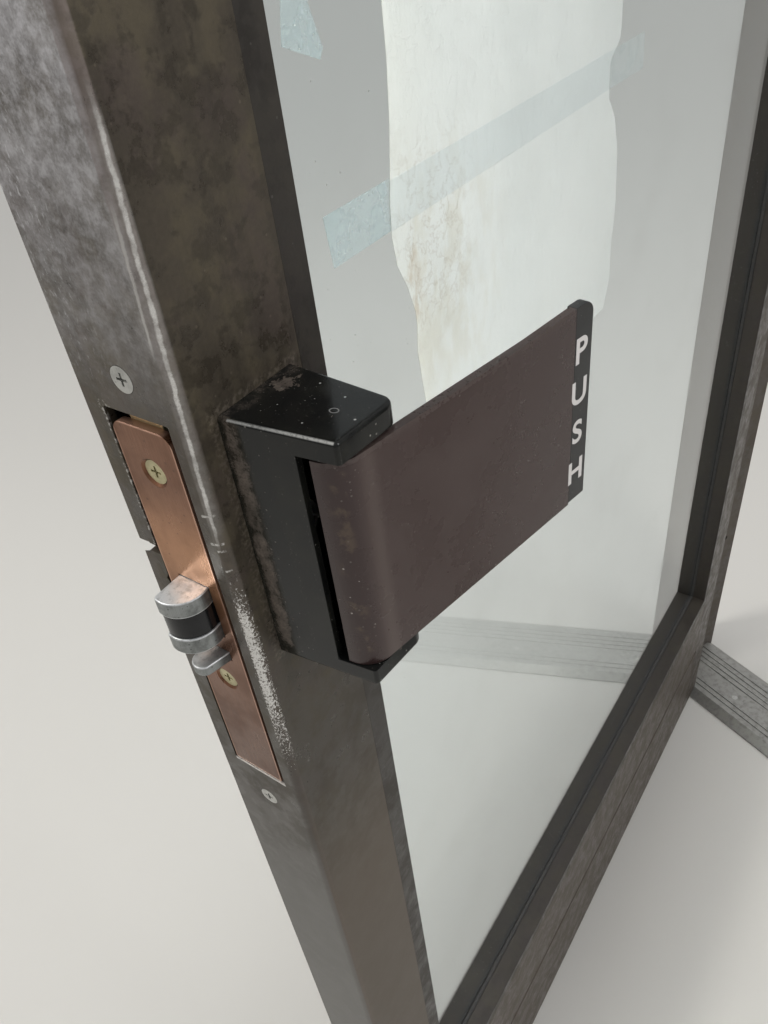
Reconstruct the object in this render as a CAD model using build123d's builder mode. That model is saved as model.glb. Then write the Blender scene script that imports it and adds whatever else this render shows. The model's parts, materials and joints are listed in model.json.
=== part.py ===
from build123d import *
from math import cos, radians, sin
import os

os.makedirs("parts", exist_ok=True)

# A narrow-stile aluminium glass door in its frame, standing open, with a push paddle and a radius latch.
# Frame of reference: origin on the finished floor under the middle of the threshold, X along the wall from
# the strike jamb to the hinge jamb, +Y outwards, +Z up. The closed leaf's inside face lies at y = 0.

# Leaf
leaf_width = 812.8
leaf_height = 2133.6
leaf_depth = 44.45
wall = 3.2
edge_radius = 0.8
worn_radius = 3.5
stile_face = 49.2
top_rail_face = 46.0
rail_total = 254.0
kick_face = 131.0
reveal_height = 6.0
reveal_depth = 4.0
open_angle = 68.0

# Glazing
glass_thickness = 6.35
glass_gap = 3.0
gasket_thickness = 3.05
gasket_lap = 0.8
stop_height = 11.1
stop_wall = 1.6
keeper_height = 2.4
keeper_width = 3.2
block_length = 100.0

# Frame
edge_gap = 3.2
sill_clearance = 4.8
threshold_height = 12.7
jamb_face = 44.45
jamb_depth = 114.3
door_stop_height = 12.7
door_stop_depth = 15.0
seal_gap = 0.3
seal_depth = 4.0
seal_width = 8.0
anchor_radius = 5.2
anchor_count = 4
anchor_spacing = 560.0
anchor_first = 260.0
anchor_setback = 45.0

# Hinges
hinge_height = 114.3
hinge_margin = 10.0
pin_proud = 7.5
pin_radius = 3.9
pin_clearance = 0.06
barrel_clearance = 0.35
knuckle_count = 5
knuckle_gap = 0.3
pin_tip = 2.5
let_in_gap = 0.3
bottom_hinge = 312.0
top_hinge = 184.0
backup_thickness = 5.0
backup_margin = 12.0

# Lock, all heights measured from the middle of the latch
latch_height = 914.0
lock_middle = 21.8
backset = 28.6
drive_height = 38.2
cutout_width = 27.8
cutout_height = 178.9
faceplate_width = 25.4
faceplate_height = 173.8
faceplate_drop = -1.9
faceplate_recess = 0.35
faceplate_shift = 0.8
upper_screw = 68.3
lower_screw = -29.3
bracket_screw_top = 101.4
bracket_screw_bottom = -109.4
bracket_thickness = 2.0
bracket_width = 14.0
case_wall = 1.5
case_back = 44.0
case_top = 58.0
case_bottom = -62.0
cylinder_radius = 14.3
slide_gap = 0.35
hole_gap = 0.6

# Latch bolt and its follower
bolt_travel = 13.2
bolt_nose = 12.4
bolt_outer = 29.0
bolt_inner = 15.2
bolt_bottom = -1.9
bolt_core_bottom = 5.3
bolt_core_top = 15.8
bolt_top = 22.7
bolt_root = 3.0
bolt_belly = (-10.4, 18.6)
core_inset = 0.5
tail_width = 6.5
lug_top = 27.2
lug_thickness = 3.0
trigger_travel = 10.6
trigger_bottom = -14.8
trigger_top = -10.4
trigger_tail = 18.0
trigger_shoulder = -6.0
trigger_crown = 20.5
trigger_heel = (-8.8, 18.0)

# Cams
finger_length = 12.5
finger_tip = 2.0
finger_gap = 0.6
finger_setback = 2.3
finger_thickness = 4.0
plug_cam_thickness = 3.6
cam_gap = 0.7
drive_radius = 6.0
drive_clearance = 0.06
crank_radius = 5.5
crank_pin = 1.5

# Paddle and its housing
housing_bottom = -12.0
housing_height = 100.5
lip_thickness = 7.5
housing_left = 11.0
housing_right = 45.0
housing_wall = 2.5
housing_corner = 4.5
housing_edge = 1.6
front_left = (15.5, -39.5)
front_right = (41.5, -41.5)
left_wall_reach = 25.0
right_wall_reach = 27.0
paddle_pivot = (23.0, -33.0)
paddle_pin_radius = 2.5
paddle_hub = 4.8
paddle_lean = 10.6
paddle_face_start = (37.3, -42.6)
paddle_reach = 98.2
paddle_thickness = 3.0
paddle_running_gap = 0.3
paddle_top_gap = 1.0
paddle_bend = 10.4
paddle_side = 15.8
paddle_side_end = -29.0
paddle_draft = 0.9
end_cap_length = 10.3
end_cap_lap = 7.0
end_cap_back = 1.0
end_cap_corner = 5.0
end_cap_step = 0.8
tongue_inset = 0.8
tongue_margin = 6.0
flare_length = 26.0
flare_rise = 0.9
toe_face = 33.6
toe_tip = -12.0
toe_height = 6.0
spring_length = 16.0
spring_height = 8.0
spring_clearance = 0.4
housing_screw_low = 8.5
housing_screw_high = 11.0

# Screws
screw_radius = 2.4
screw_head = 4.4
screw_head_depth = 2.0
screw_gap = 0.1
screw_sink = 0.75

# Places worked out from the sizes above
lock_x = -leaf_width / 2
leaf_bottom = threshold_height + sill_clearance
jamb_inner = leaf_width / 2 + edge_gap
jamb_outer = jamb_inner + jamb_face
head_z = leaf_bottom + leaf_height + edge_gap
frame_height = head_z + jamb_face
frame_inside = leaf_depth - jamb_depth
anchor_y = -anchor_setback
pin_x = leaf_width / 2 + edge_gap / 2
pin_y = leaf_depth + pin_proud
barrel_radius = pin_proud - barrel_clearance
glass_face = (leaf_depth - glass_thickness) / 2
stop_depth = glass_face - gasket_thickness
pocket_bottom = rail_total - stop_height
pocket_top = leaf_height - top_rail_face
pocket_height = pocket_top - pocket_bottom
bottom_rail_bottom = kick_face + reveal_height
bottom_rail_face = pocket_bottom - bottom_rail_bottom
rail_length = leaf_width - 2 * stile_face
sight = stile_face + stop_height
hinge_centres = {
    "bottom": bottom_hinge,
    "middle": (bottom_hinge + leaf_height - top_hinge) / 2,
    "top": leaf_height - top_hinge,
}
plate_back = wall
plate_y = lock_middle + faceplate_shift
faceplate_thickness = wall - faceplate_recess
case_width = faceplate_width
case_start = plate_y - case_width / 2
drive_z = latch_height + drive_height
cavity_bottom = housing_bottom + lip_thickness
cavity_height = housing_height - 2 * lip_thickness
cavity_top = cavity_bottom + cavity_height
paddle_bottom = cavity_bottom + paddle_running_gap
paddle_height = cavity_height - paddle_running_gap - paddle_top_gap

# The leaf's own frame: its lower lock corner on the inside face, swung open about the hinge pins.
# In it x runs from the lock edge to the hinge edge, y through the leaf and z up from its bottom edge.
hinge_turn = Location((0, 0, 0), (0, 0, -open_angle))
swing = Location((pin_x, pin_y, 0)) * hinge_turn * Location((-pin_x, -pin_y, 0))
leaf = swing * Location((lock_x, 0, leaf_bottom))


def level(z):
    """Horizontal plane of the leaf at a height above its bottom edge."""
    return Plane(leaf * Plane.XY.offset(z).location)


def across(x):
    """Plane across the leaf's width: its x is the depth, its y the height, and it faces the hinge edge."""
    return Plane(leaf * Plane.YZ.offset(x).location)


def facing(y):
    """Plane parallel to the leaf's faces at a depth, seen from inside: x is the width, y the height."""
    return Plane(leaf * Plane.XZ.offset(-y).location)


def tube_section(x, y, width, depth):
    """Add a rectangular tube's section, one wall thick, with its low corner at x, y."""
    with Locations((x + width / 2, y + depth / 2)):
        outline = Rectangle(width, depth)
        fillet(outline.vertices(), edge_radius)
        Rectangle(width - 2 * wall, depth - 2 * wall, mode=Mode.SUBTRACT)


def flat_screw(length, recess):
    """Return a countersunk screw on the Z axis, its head at the origin, with a cross recess or none."""
    with BuildPart() as screw:
        with BuildSketch(Plane.XZ):
            with BuildLine():
                Polyline(
                    (0, 0),
                    (screw_head, 0),
                    (screw_radius, -screw_head_depth),
                    (screw_radius, -length),
                    (0, -length),
                    close=True,
                )
            make_face()
        revolve(axis=Axis.Z)
        if recess:
            with BuildSketch(Plane.XY):
                Rectangle(screw_head, screw_head / 5)
                Rectangle(screw_head / 5, screw_head)
            extrude(amount=-screw_head_depth / 2, mode=Mode.SUBTRACT)
    return screw.part


def sunk_hole(length, sink=0.0):
    """Cut a countersunk screw's hole, a clearance wider than the screw, at the places in force.

    The screw's head sits a sink below the surface.
    """
    head = screw_head + 2 * screw_gap + sink
    CounterSinkHole(screw_radius + screw_gap, head, depth=length, counter_sink_angle=90)


# Strike jamb, with the pocket for the latch
strike_width = 32.0
strike_height = 124.0
strike_thickness = 1.6
strike_window_width = 19.0
strike_window_height = 46.0
strike_screw_offset = 50.0
strike_z = leaf_bottom + latch_height
strike_face = Plane.YZ.offset(-jamb_inner)
anchor_heights = [anchor_first + anchor_spacing * step for step in range(anchor_count)]


def strike_screw_place(side):
    """Place of the strike plate's upper or lower screw, its head towards the opening."""
    return Location((-jamb_inner, plate_y, strike_z + side * strike_screw_offset), (0, 90, 0))


with BuildPart() as strike_jamb:
    with BuildSketch(Plane.XY):
        tube_section(-jamb_outer, frame_inside, jamb_face, jamb_depth)
    extrude(amount=frame_height)
    with BuildSketch(Plane.YZ.offset(-jamb_outer)):
        with Locations([(anchor_y, z) for z in anchor_heights]):
            Circle(anchor_radius)
    extrude(amount=jamb_face, mode=Mode.SUBTRACT)
    with BuildSketch(strike_face):
        with Locations((plate_y, strike_z)):
            Rectangle(strike_width + 2 * let_in_gap, strike_height + 2 * let_in_gap)
    extrude(amount=-strike_thickness, mode=Mode.SUBTRACT)
    with BuildSketch(strike_face):
        with Locations((plate_y, strike_z + (bolt_top + trigger_bottom) / 2)):
            Rectangle(strike_window_width + 2, strike_window_height + 2)
    extrude(amount=-wall, mode=Mode.SUBTRACT)
    for side in (-1, 1):
        with Locations(strike_screw_place(side)):
            sunk_hole(wall)
strike_jamb.part.label = "strike_jamb"
export_step(strike_jamb.part, "parts/strike_jamb.step")

with BuildPart() as strike_plate:
    with BuildSketch(strike_face.offset(-strike_thickness)):
        with Locations((plate_y, strike_z)):
            outline = Rectangle(strike_width, strike_height)
            fillet(outline.vertices(), 3 * edge_radius)
        with Locations((plate_y, strike_z + (bolt_top + trigger_bottom) / 2)):
            Rectangle(strike_window_width, strike_window_height, mode=Mode.SUBTRACT)
    extrude(amount=strike_thickness)
    for side in (-1, 1):
        with Locations(strike_screw_place(side)):
            sunk_hole(wall)
strike_plate.part.label = "strike_plate"
export_step(strike_plate.part, "parts/strike_plate.step")

# Hinge jamb, with a window for each hinge's plate
jamb_hinge_face = Plane.YZ.offset(jamb_inner)
hinge_plate_width = leaf_depth - hinge_margin
window_width = hinge_plate_width + let_in_gap + edge_gap
window_middle = hinge_margin - let_in_gap + window_width / 2
window_height = hinge_height + 2 * let_in_gap

with BuildPart() as hinge_jamb:
    with BuildSketch(Plane.XY):
        tube_section(jamb_inner, frame_inside, jamb_face, jamb_depth)
    extrude(amount=frame_height)
    with BuildSketch(jamb_hinge_face):
        with Locations([(window_middle, leaf_bottom + z) for z in hinge_centres.values()]):
            Rectangle(window_width, window_height)
    extrude(amount=wall, mode=Mode.SUBTRACT)
    with BuildSketch(jamb_hinge_face):
        with Locations([(anchor_y, z) for z in anchor_heights]):
            Circle(anchor_radius)
    extrude(amount=jamb_face, mode=Mode.SUBTRACT)
hinge_jamb.part.label = "hinge_jamb"
export_step(hinge_jamb.part, "parts/hinge_jamb.step")

# Header between the jambs, and the clips that carry it
clip_length = 50.0
clip_thickness = 5.0
clip_gap = 0.4

with BuildPart() as header:
    with BuildSketch(Plane.YZ.offset(-jamb_inner)):
        tube_section(frame_inside, head_z, jamb_depth, jamb_face)
    extrude(amount=2 * jamb_inner)
header.part.label = "header"
export_step(header.part, "parts/header.step")

with BuildPart() as header_clips:
    for side in (-1, 1):
        with BuildSketch(Plane.XZ.offset(-frame_inside - wall - clip_gap)):
            with BuildLine():
                Polyline(
                    (side * jamb_inner, head_z + wall + clip_gap),
                    (side * (jamb_inner - clip_length), head_z + wall + clip_gap),
                    (side * (jamb_inner - clip_length), head_z + wall + clip_gap + clip_thickness),
                    (side * (jamb_inner - clip_thickness), head_z + wall + clip_gap + clip_thickness),
                    (side * (jamb_inner - clip_thickness), frame_height - wall - clip_gap),
                    (side * jamb_inner, frame_height - wall - clip_gap),
                    close=True,
                )
            make_face()
        extrude(amount=-(jamb_depth - 2 * wall - 2 * clip_gap))
header_clips.part.label = "header_clips"
export_step(header_clips.part, "parts/header_clips.step")

# Threshold with grip grooves and a hollow underside
threshold_nose = 12.0
threshold_lip = 3.0
groove_width = 3.0
groove_depth = 1.2
groove_pitch = 9.0
inside_groove_count = 4
inside_groove_middle = -31.5
outside_groove_count = 2
outside_groove_middle = 19.5
rib_width = 24.0

with BuildPart() as threshold:
    with BuildSketch(Plane.YZ.offset(-jamb_inner)):
        with BuildLine():
            Polyline(
                (frame_inside, 0),
                (leaf_depth, 0),
                (leaf_depth, threshold_lip),
                (leaf_depth - threshold_nose, threshold_height),
                (frame_inside + threshold_nose, threshold_height),
                (frame_inside, threshold_lip),
                close=True,
            )
        make_face()
        inside_group = (inside_groove_middle, inside_groove_count)
        outside_group = (outside_groove_middle, outside_groove_count)
        for middle, count in (inside_group, outside_group):
            with Locations((middle, threshold_height)):
                with GridLocations(groove_pitch, 0, count, 1):
                    Rectangle(groove_width, 2 * groove_depth, mode=Mode.SUBTRACT)
        channel_height = threshold_height - wall - groove_depth
        inside_channel = -frame_inside - threshold_nose - wall - rib_width / 2
        outside_channel = leaf_depth - threshold_nose - wall - rib_width / 2
        for side, channel in ((-1, inside_channel), (1, outside_channel)):
            with Locations((side * (rib_width + channel) / 2, channel_height / 2)):
                Rectangle(channel, channel_height, mode=Mode.SUBTRACT)
    extrude(amount=2 * jamb_inner)
    threshold_screw_places = GridLocations(2 * jamb_inner / 4, 0, 4, 1).locations
    with Locations((0, 0, threshold_height)):
        with Locations(threshold_screw_places):
            sunk_hole(threshold_height)
threshold.part.label = "threshold"
export_step(threshold.part, "parts/threshold.step")

# Door stops round the inside of the opening, each with a seal that the closed leaf meets
stop_front = -seal_gap - seal_depth / 2
stop_top = head_z - door_stop_height
stop_bore_height = door_stop_height - 2 * stop_wall
stop_bore_depth = door_stop_depth - 2 * stop_wall

for side, name in ((-1, "strike"), (1, "hinge")):
    with BuildPart() as door_stop:
        with BuildSketch(Plane.XY.offset(threshold_height)):
            with Locations((side * (jamb_inner - door_stop_height / 2), stop_front - door_stop_depth / 2)):
                outline = Rectangle(door_stop_height, door_stop_depth)
                fillet(outline.vertices(), edge_radius)
                Rectangle(stop_bore_height, stop_bore_depth, mode=Mode.SUBTRACT)
        extrude(amount=head_z - threshold_height)
    door_stop.part.label = f"{name}_door_stop"
    export_step(door_stop.part, f"parts/{name}_door_stop.step")

header_stop_reach = jamb_inner - door_stop_height
with BuildPart() as header_stop:
    with BuildSketch(Plane.YZ.offset(-header_stop_reach)):
        with Locations((stop_front - door_stop_depth / 2, head_z - door_stop_height / 2)):
            outline = Rectangle(door_stop_depth, door_stop_height)
            fillet(outline.vertices(), edge_radius)
            Rectangle(stop_bore_depth, stop_bore_height, mode=Mode.SUBTRACT)
    extrude(amount=2 * header_stop_reach)
header_stop.part.label = "header_door_stop"
export_step(header_stop.part, "parts/header_door_stop.step")

seal_base = seal_depth / 2
with BuildPart() as door_seals:
    for side in (-1, 1):
        with BuildSketch(Plane.XY.offset(threshold_height)):
            with Locations((side * (jamb_inner - door_stop_height / 2), stop_front + seal_base / 2)):
                outline = Rectangle(seal_width, seal_base)
                fillet(outline.vertices().group_by(Axis.Y)[-1], seal_base - 0.1)
        extrude(amount=stop_top - threshold_height)
    with BuildSketch(Plane.YZ.offset(-header_stop_reach)):
        with Locations((stop_front + seal_base / 2, head_z - door_stop_height / 2)):
            outline = Rectangle(seal_base, seal_width)
            fillet(outline.vertices().group_by(Axis.X)[-1], seal_base - 0.1)
    extrude(amount=2 * header_stop_reach)
door_seals.part.label = "door_seals"
export_step(door_seals.part, "parts/door_seals.step")

# Hinges: a plate let into the jamb, a plate let into the leaf, knuckles in turn, and a loose pin
knuckle_height = hinge_height / knuckle_count
knuckle_starts = [-hinge_height / 2 + knuckle_height * step for step in range(knuckle_count)]
hinge_screw_rows = (-hinge_height / 3, -hinge_height / 9, hinge_height / 9, hinge_height / 3)
hinge_screw_columns = (hinge_margin + 9.0, leaf_depth - 11.0)
hinge_screw_places = [
    (hinge_screw_columns[row % 2], height) for row, height in enumerate(hinge_screw_rows)
]
hinge_screw = flat_screw(length=wall + backup_thickness, recess=False)
plate_overlap = pin_proud - pin_radius - 1.0
leaf_pin_x = leaf_width + edge_gap / 2

for name, centre in hinge_centres.items():
    frame_centre = leaf_bottom + centre

    with BuildPart() as frame_hinge:
        with BuildSketch(jamb_hinge_face):
            with Locations((hinge_margin + hinge_plate_width / 2, frame_centre)):
                Rectangle(hinge_plate_width, hinge_height)
            for start in knuckle_starts[::2]:
                with Locations((leaf_depth + plate_overlap / 2, frame_centre + start + knuckle_height / 2)):
                    Rectangle(plate_overlap, knuckle_height - knuckle_gap)
        extrude(amount=wall)
        for start in knuckle_starts[::2]:
            with BuildSketch(Plane.XY.offset(frame_centre + start + knuckle_gap / 2)):
                with Locations((pin_x, pin_y)):
                    Circle(barrel_radius)
            extrude(amount=knuckle_height - knuckle_gap)
        with BuildSketch(Plane.XY.offset(frame_centre - hinge_height / 2)):
            with Locations((pin_x, pin_y)):
                Circle(pin_radius + pin_clearance)
        extrude(amount=hinge_height, mode=Mode.SUBTRACT)
        for y, z in hinge_screw_places:
            with Locations(Location((jamb_inner, y, frame_centre + z), (0, -90, 0))):
                sunk_hole(wall)
    frame_hinge.part.label = f"frame_hinge_{name}"
    export_step(frame_hinge.part, f"parts/frame_hinge_{name}.step")

    with BuildPart() as door_hinge:
        with BuildSketch(across(leaf_width)):
            with Locations((hinge_margin + hinge_plate_width / 2, centre)):
                Rectangle(hinge_plate_width, hinge_height)
            for start in knuckle_starts[1::2]:
                with Locations((leaf_depth + plate_overlap / 2, centre + start + knuckle_height / 2)):
                    Rectangle(plate_overlap, knuckle_height - knuckle_gap)
        extrude(amount=-wall)
        for start in knuckle_starts[1::2]:
            with BuildSketch(level(centre + start + knuckle_gap / 2)):
                with Locations((leaf_pin_x, pin_y)):
                    Circle(barrel_radius)
            extrude(amount=knuckle_height - knuckle_gap)
        with BuildSketch(level(centre - hinge_height / 2)):
            with Locations((leaf_pin_x, pin_y)):
                Circle(pin_radius + pin_clearance)
        extrude(amount=hinge_height, mode=Mode.SUBTRACT)
        for y, z in hinge_screw_places:
            with Locations(leaf * Location((leaf_width, y, centre + z), (0, 90, 0))):
                sunk_hole(wall)
    door_hinge.part.label = f"door_hinge_{name}"
    export_step(door_hinge.part, f"parts/door_hinge_{name}.step")

with BuildPart() as hinge_pins:
    for centre in hinge_centres.values():
        low = leaf_bottom + centre - hinge_height / 2
        with BuildSketch(Plane.XZ.offset(-pin_y)):
            with BuildLine():
                Polyline(
                    (pin_x, low - pin_tip),
                    (pin_x + barrel_radius - 2.0, low - pin_tip),
                    (pin_x + barrel_radius - 0.5, low),
                    (pin_x + pin_radius, low),
                    (pin_x + pin_radius, low + hinge_height),
                    (pin_x + barrel_radius - 0.5, low + hinge_height),
                    (pin_x + barrel_radius - 2.0, low + hinge_height + pin_tip),
                    (pin_x, low + hinge_height + pin_tip),
                    close=True,
                )
            make_face()
        revolve(axis=Axis((pin_x, pin_y, 0), (0, 0, 1)))
hinge_pins.part.label = "hinge_pins"
export_step(hinge_pins.part, "parts/hinge_pins.step")

strike_screw = flat_screw(length=14.0, recess=False)
threshold_screw = flat_screw(length=threshold_height - 0.5, recess=False)

with BuildPart() as frame_screws:
    for centre in hinge_centres.values():
        for y, z in hinge_screw_places:
            with Locations(Location((jamb_inner, y, leaf_bottom + centre + z), (0, -90, 0))):
                add(hinge_screw)
    for side in (-1, 1):
        with Locations(strike_screw_place(side)):
            add(strike_screw)
    with Locations((0, 0, threshold_height)):
        with Locations(threshold_screw_places):
            add(threshold_screw)
frame_screws.part.label = "frame_screws"
export_step(frame_screws.part, "parts/frame_screws.step")

with BuildPart() as door_hinge_screws:
    for centre in hinge_centres.values():
        for y, z in hinge_screw_places:
            with Locations(leaf * Location((leaf_width, y, centre + z), (0, 90, 0))):
                add(hinge_screw)
door_hinge_screws.part.label = "door_hinge_screws"
export_step(door_hinge_screws.part, "parts/door_hinge_screws.step")

backup_width = leaf_depth - 2 * wall - 4.0
backup_height = hinge_height + 2 * backup_margin
screw_hole = screw_radius + screw_gap

with BuildPart() as frame_backup_plates:
    with BuildSketch(jamb_hinge_face.offset(wall)):
        for centre in hinge_centres.values():
            with Locations((leaf_depth / 2, leaf_bottom + centre)):
                Rectangle(backup_width, backup_height)
            with Locations([(y, leaf_bottom + centre + z) for y, z in hinge_screw_places]):
                Circle(screw_hole, mode=Mode.SUBTRACT)
    extrude(amount=backup_thickness)
frame_backup_plates.part.label = "frame_backup_plates"
export_step(frame_backup_plates.part, "parts/frame_backup_plates.step")

with BuildPart() as door_backup_plates:
    with BuildSketch(across(leaf_width - wall)):
        for centre in hinge_centres.values():
            with Locations((leaf_depth / 2, centre)):
                Rectangle(backup_width, backup_height)
            with Locations([(y, centre + z) for y, z in hinge_screw_places]):
                Circle(screw_hole, mode=Mode.SUBTRACT)
    extrude(amount=-backup_thickness)
door_backup_plates.part.label = "door_backup_plates"
export_step(door_backup_plates.part, "parts/door_backup_plates.step")

# Lock stile: a tube with the lock's cutout in its edge, cracked and dented beside the latch
rod_radius = 4.75
rod_gap = 0.25
rod_heights = (bottom_rail_bottom + bottom_rail_face / 2, leaf_height - top_rail_face / 2)
keeper_places = (stop_depth / 2, leaf_depth - stop_depth / 2)
keeper_start = pocket_bottom + stop_height + 1.0
keeper_run = pocket_height - 2 * (stop_height + 1.0)
crack_outer = 31.0
crack_inner = 31.6
crack_width = 5.0
crack_run = 5.0
crack_fall = 6.0
crack_tip = 3.0
dent_depth = 0.5
dent_bottom = 1.0
chip_depth = 1.2
chip_top = 22.0
chip_bottom = 13.0
cutout_outer = lock_middle + cutout_width / 2
housing_screw_heights = (cavity_bottom + housing_screw_low, cavity_top - housing_screw_high)

with BuildPart() as lock_stile:
    with BuildSketch(level(0)) as section:
        with Locations((stile_face / 2, leaf_depth / 2)):
            outline = Rectangle(stile_face, leaf_depth)
        worn_corner = outline.vertices().group_by(Axis.X)[0].sort_by(Axis.Y)[0]
        fillet(worn_corner, worn_radius)
        crisp_corners = section.vertices().group_by(Axis.Y)[-1]
        fillet(crisp_corners, edge_radius)
        with Locations((stile_face / 2, leaf_depth / 2)):
            Rectangle(stile_face - 2 * wall, leaf_depth - 2 * wall, mode=Mode.SUBTRACT)
    extrude(amount=leaf_height)
    with BuildSketch(level(keeper_start)):
        with Locations([(stile_face + keeper_height / 2, y) for y in keeper_places]):
            Rectangle(keeper_height, keeper_width)
    extrude(amount=keeper_run)
    with BuildSketch(across(0)):
        with Locations((lock_middle, latch_height)):
            outline = Rectangle(cutout_width, cutout_height)
            fillet(outline.vertices(), edge_radius)
        with BuildLine():
            Polyline(
                (cutout_outer - 1, latch_height + crack_inner - crack_width / 2),
                (leaf_depth + 1, latch_height + crack_outer - crack_width / 2),
                (leaf_depth + 1, latch_height + crack_outer + crack_width / 2),
                (cutout_outer - 1, latch_height + crack_inner + crack_width / 2),
                close=True,
            )
        make_face()
        with BuildLine():
            Polyline(
                (cutout_outer - 1, latch_height + chip_top),
                (cutout_outer + chip_depth, latch_height + (chip_top + chip_bottom) / 2),
                (cutout_outer - 1, latch_height + chip_bottom),
                close=True,
            )
        make_face()
    extrude(amount=wall, mode=Mode.SUBTRACT)
    with BuildSketch(facing(leaf_depth)):
        with BuildLine():
            Polyline(
                (-1, latch_height + crack_outer - crack_width / 2),
                (crack_run, latch_height + crack_outer - crack_fall - crack_tip / 2),
                (crack_run, latch_height + crack_outer - crack_fall + crack_tip / 2),
                (-1, latch_height + crack_outer + crack_width / 2),
                close=True,
            )
        make_face()
    extrude(amount=wall, mode=Mode.SUBTRACT)
    with BuildSketch(facing(cutout_outer - 1)):
        with BuildLine():
            Polyline(
                (-1, latch_height + dent_bottom),
                (0, latch_height + dent_bottom),
                (dent_depth, latch_height + crack_outer - crack_width / 2),
                (dent_depth, latch_height + crack_outer),
                (-1, latch_height + crack_outer),
                close=True,
            )
        make_face()
    extrude(amount=-(leaf_depth - cutout_outer + 2), mode=Mode.SUBTRACT)
    with BuildSketch(facing(0)):
        with Locations((backset, drive_z)):
            Circle(cylinder_radius + hole_gap)
    extrude(amount=-leaf_depth, mode=Mode.SUBTRACT)
    with BuildSketch(facing(0)):
        with Locations([(backset, latch_height + z) for z in housing_screw_heights]):
            Circle(screw_hole)
    extrude(amount=-wall, mode=Mode.SUBTRACT)
    with BuildSketch(across(stile_face)):
        with Locations([(leaf_depth / 2, z) for z in rod_heights]):
            Circle(rod_radius + rod_gap)
    extrude(amount=-wall, mode=Mode.SUBTRACT)
    for height in (bracket_screw_top, bracket_screw_bottom):
        with Locations(leaf * Location((0, lock_middle, latch_height + height), (0, -90, 0))):
            sunk_hole(wall)
lock_stile.part.label = "lock_stile"
export_step(lock_stile.part, "parts/lock_stile.step")

# Hinge stile
hinge_stile_x = leaf_width - stile_face

with BuildPart() as hinge_stile:
    with BuildSketch(level(0)):
        tube_section(hinge_stile_x, 0, stile_face, leaf_depth)
    extrude(amount=leaf_height)
    with BuildSketch(level(keeper_start)):
        with Locations([(hinge_stile_x - keeper_height / 2, y) for y in keeper_places]):
            Rectangle(keeper_height, keeper_width)
    extrude(amount=keeper_run)
    with BuildSketch(across(leaf_width)):
        with Locations([(window_middle, z) for z in hinge_centres.values()]):
            Rectangle(window_width, window_height)
    extrude(amount=-wall, mode=Mode.SUBTRACT)
    with BuildSketch(across(hinge_stile_x)):
        with Locations([(leaf_depth / 2, z) for z in rod_heights]):
            Circle(rod_radius + rod_gap)
    extrude(amount=wall, mode=Mode.SUBTRACT)
hinge_stile.part.label = "hinge_stile"
export_step(hinge_stile.part, "parts/hinge_stile.step")

# Rails between the stiles
rail_keeper_run = rail_length - 2 * (stop_height + 1.0)

with BuildPart() as top_rail:
    with BuildSketch(across(stile_face)):
        tube_section(0, pocket_top, leaf_depth, top_rail_face)
    extrude(amount=rail_length)
    with BuildSketch(across(sight + 1.0)):
        with Locations([(y, pocket_top - keeper_height / 2) for y in keeper_places]):
            Rectangle(keeper_width, keeper_height)
    extrude(amount=rail_keeper_run)
top_rail.part.label = "top_rail"
export_step(top_rail.part, "parts/top_rail.step")

with BuildPart() as bottom_rail:
    with BuildSketch(across(stile_face)):
        tube_section(0, bottom_rail_bottom, leaf_depth, bottom_rail_face)
    extrude(amount=rail_length)
    with BuildSketch(across(sight + 1.0)):
        with Locations([(y, pocket_bottom + keeper_height / 2) for y in keeper_places]):
            Rectangle(keeper_width, keeper_height)
    extrude(amount=rail_keeper_run)
bottom_rail.part.label = "bottom_rail"
export_step(bottom_rail.part, "parts/bottom_rail.step")

with BuildPart() as kick_rail:
    with BuildSketch(across(stile_face)):
        tube_section(0, 0, leaf_depth, kick_face)
        with Locations((leaf_depth / 2, kick_face + reveal_height / 2)):
            Rectangle(leaf_depth - 2 * reveal_depth, reveal_height)
        with Locations((leaf_depth / 2, kick_face + reveal_height / 2 - wall)):
            Rectangle(leaf_depth - 2 * reveal_depth - 2 * wall, reveal_height, mode=Mode.SUBTRACT)
    extrude(amount=rail_length)
kick_rail.part.label = "kick_rail"
export_step(kick_rail.part, "parts/kick_rail.step")

# Corner brackets in the rails' ends and the rods that draw the leaf together
corner_length = 40.0
corner_thickness = 6.0
corner_gap = 0.4
nut_width = 17.0
nut_height = 8.0
corner_depth = leaf_depth - 2 * wall - 2 * corner_gap
corner_floors = (bottom_rail_bottom + wall + corner_gap, pocket_top + wall + corner_gap)
corner_heights = (bottom_rail_face - 2 * wall - 2 * corner_gap, top_rail_face - 2 * wall - 2 * corner_gap)

with BuildPart() as corner_brackets:
    for end, into in ((stile_face, 1), (hinge_stile_x, -1)):
        for floor, height, rod in zip(corner_floors, corner_heights, rod_heights):
            with BuildSketch(facing(wall + corner_gap)):
                with BuildLine():
                    Polyline(
                        (end, floor),
                        (end + into * corner_length, floor),
                        (end + into * corner_length, floor + corner_thickness),
                        (end + into * corner_thickness, floor + corner_thickness),
                        (end + into * corner_thickness, floor + height),
                        (end, floor + height),
                        close=True,
                    )
                make_face()
            extrude(amount=-corner_depth)
            with BuildSketch(across(end)):
                with Locations((leaf_depth / 2, rod)):
                    Circle(rod_radius + rod_gap)
            extrude(amount=into * corner_thickness, mode=Mode.SUBTRACT)
corner_brackets.part.label = "corner_brackets"
export_step(corner_brackets.part, "parts/corner_brackets.step")

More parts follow.
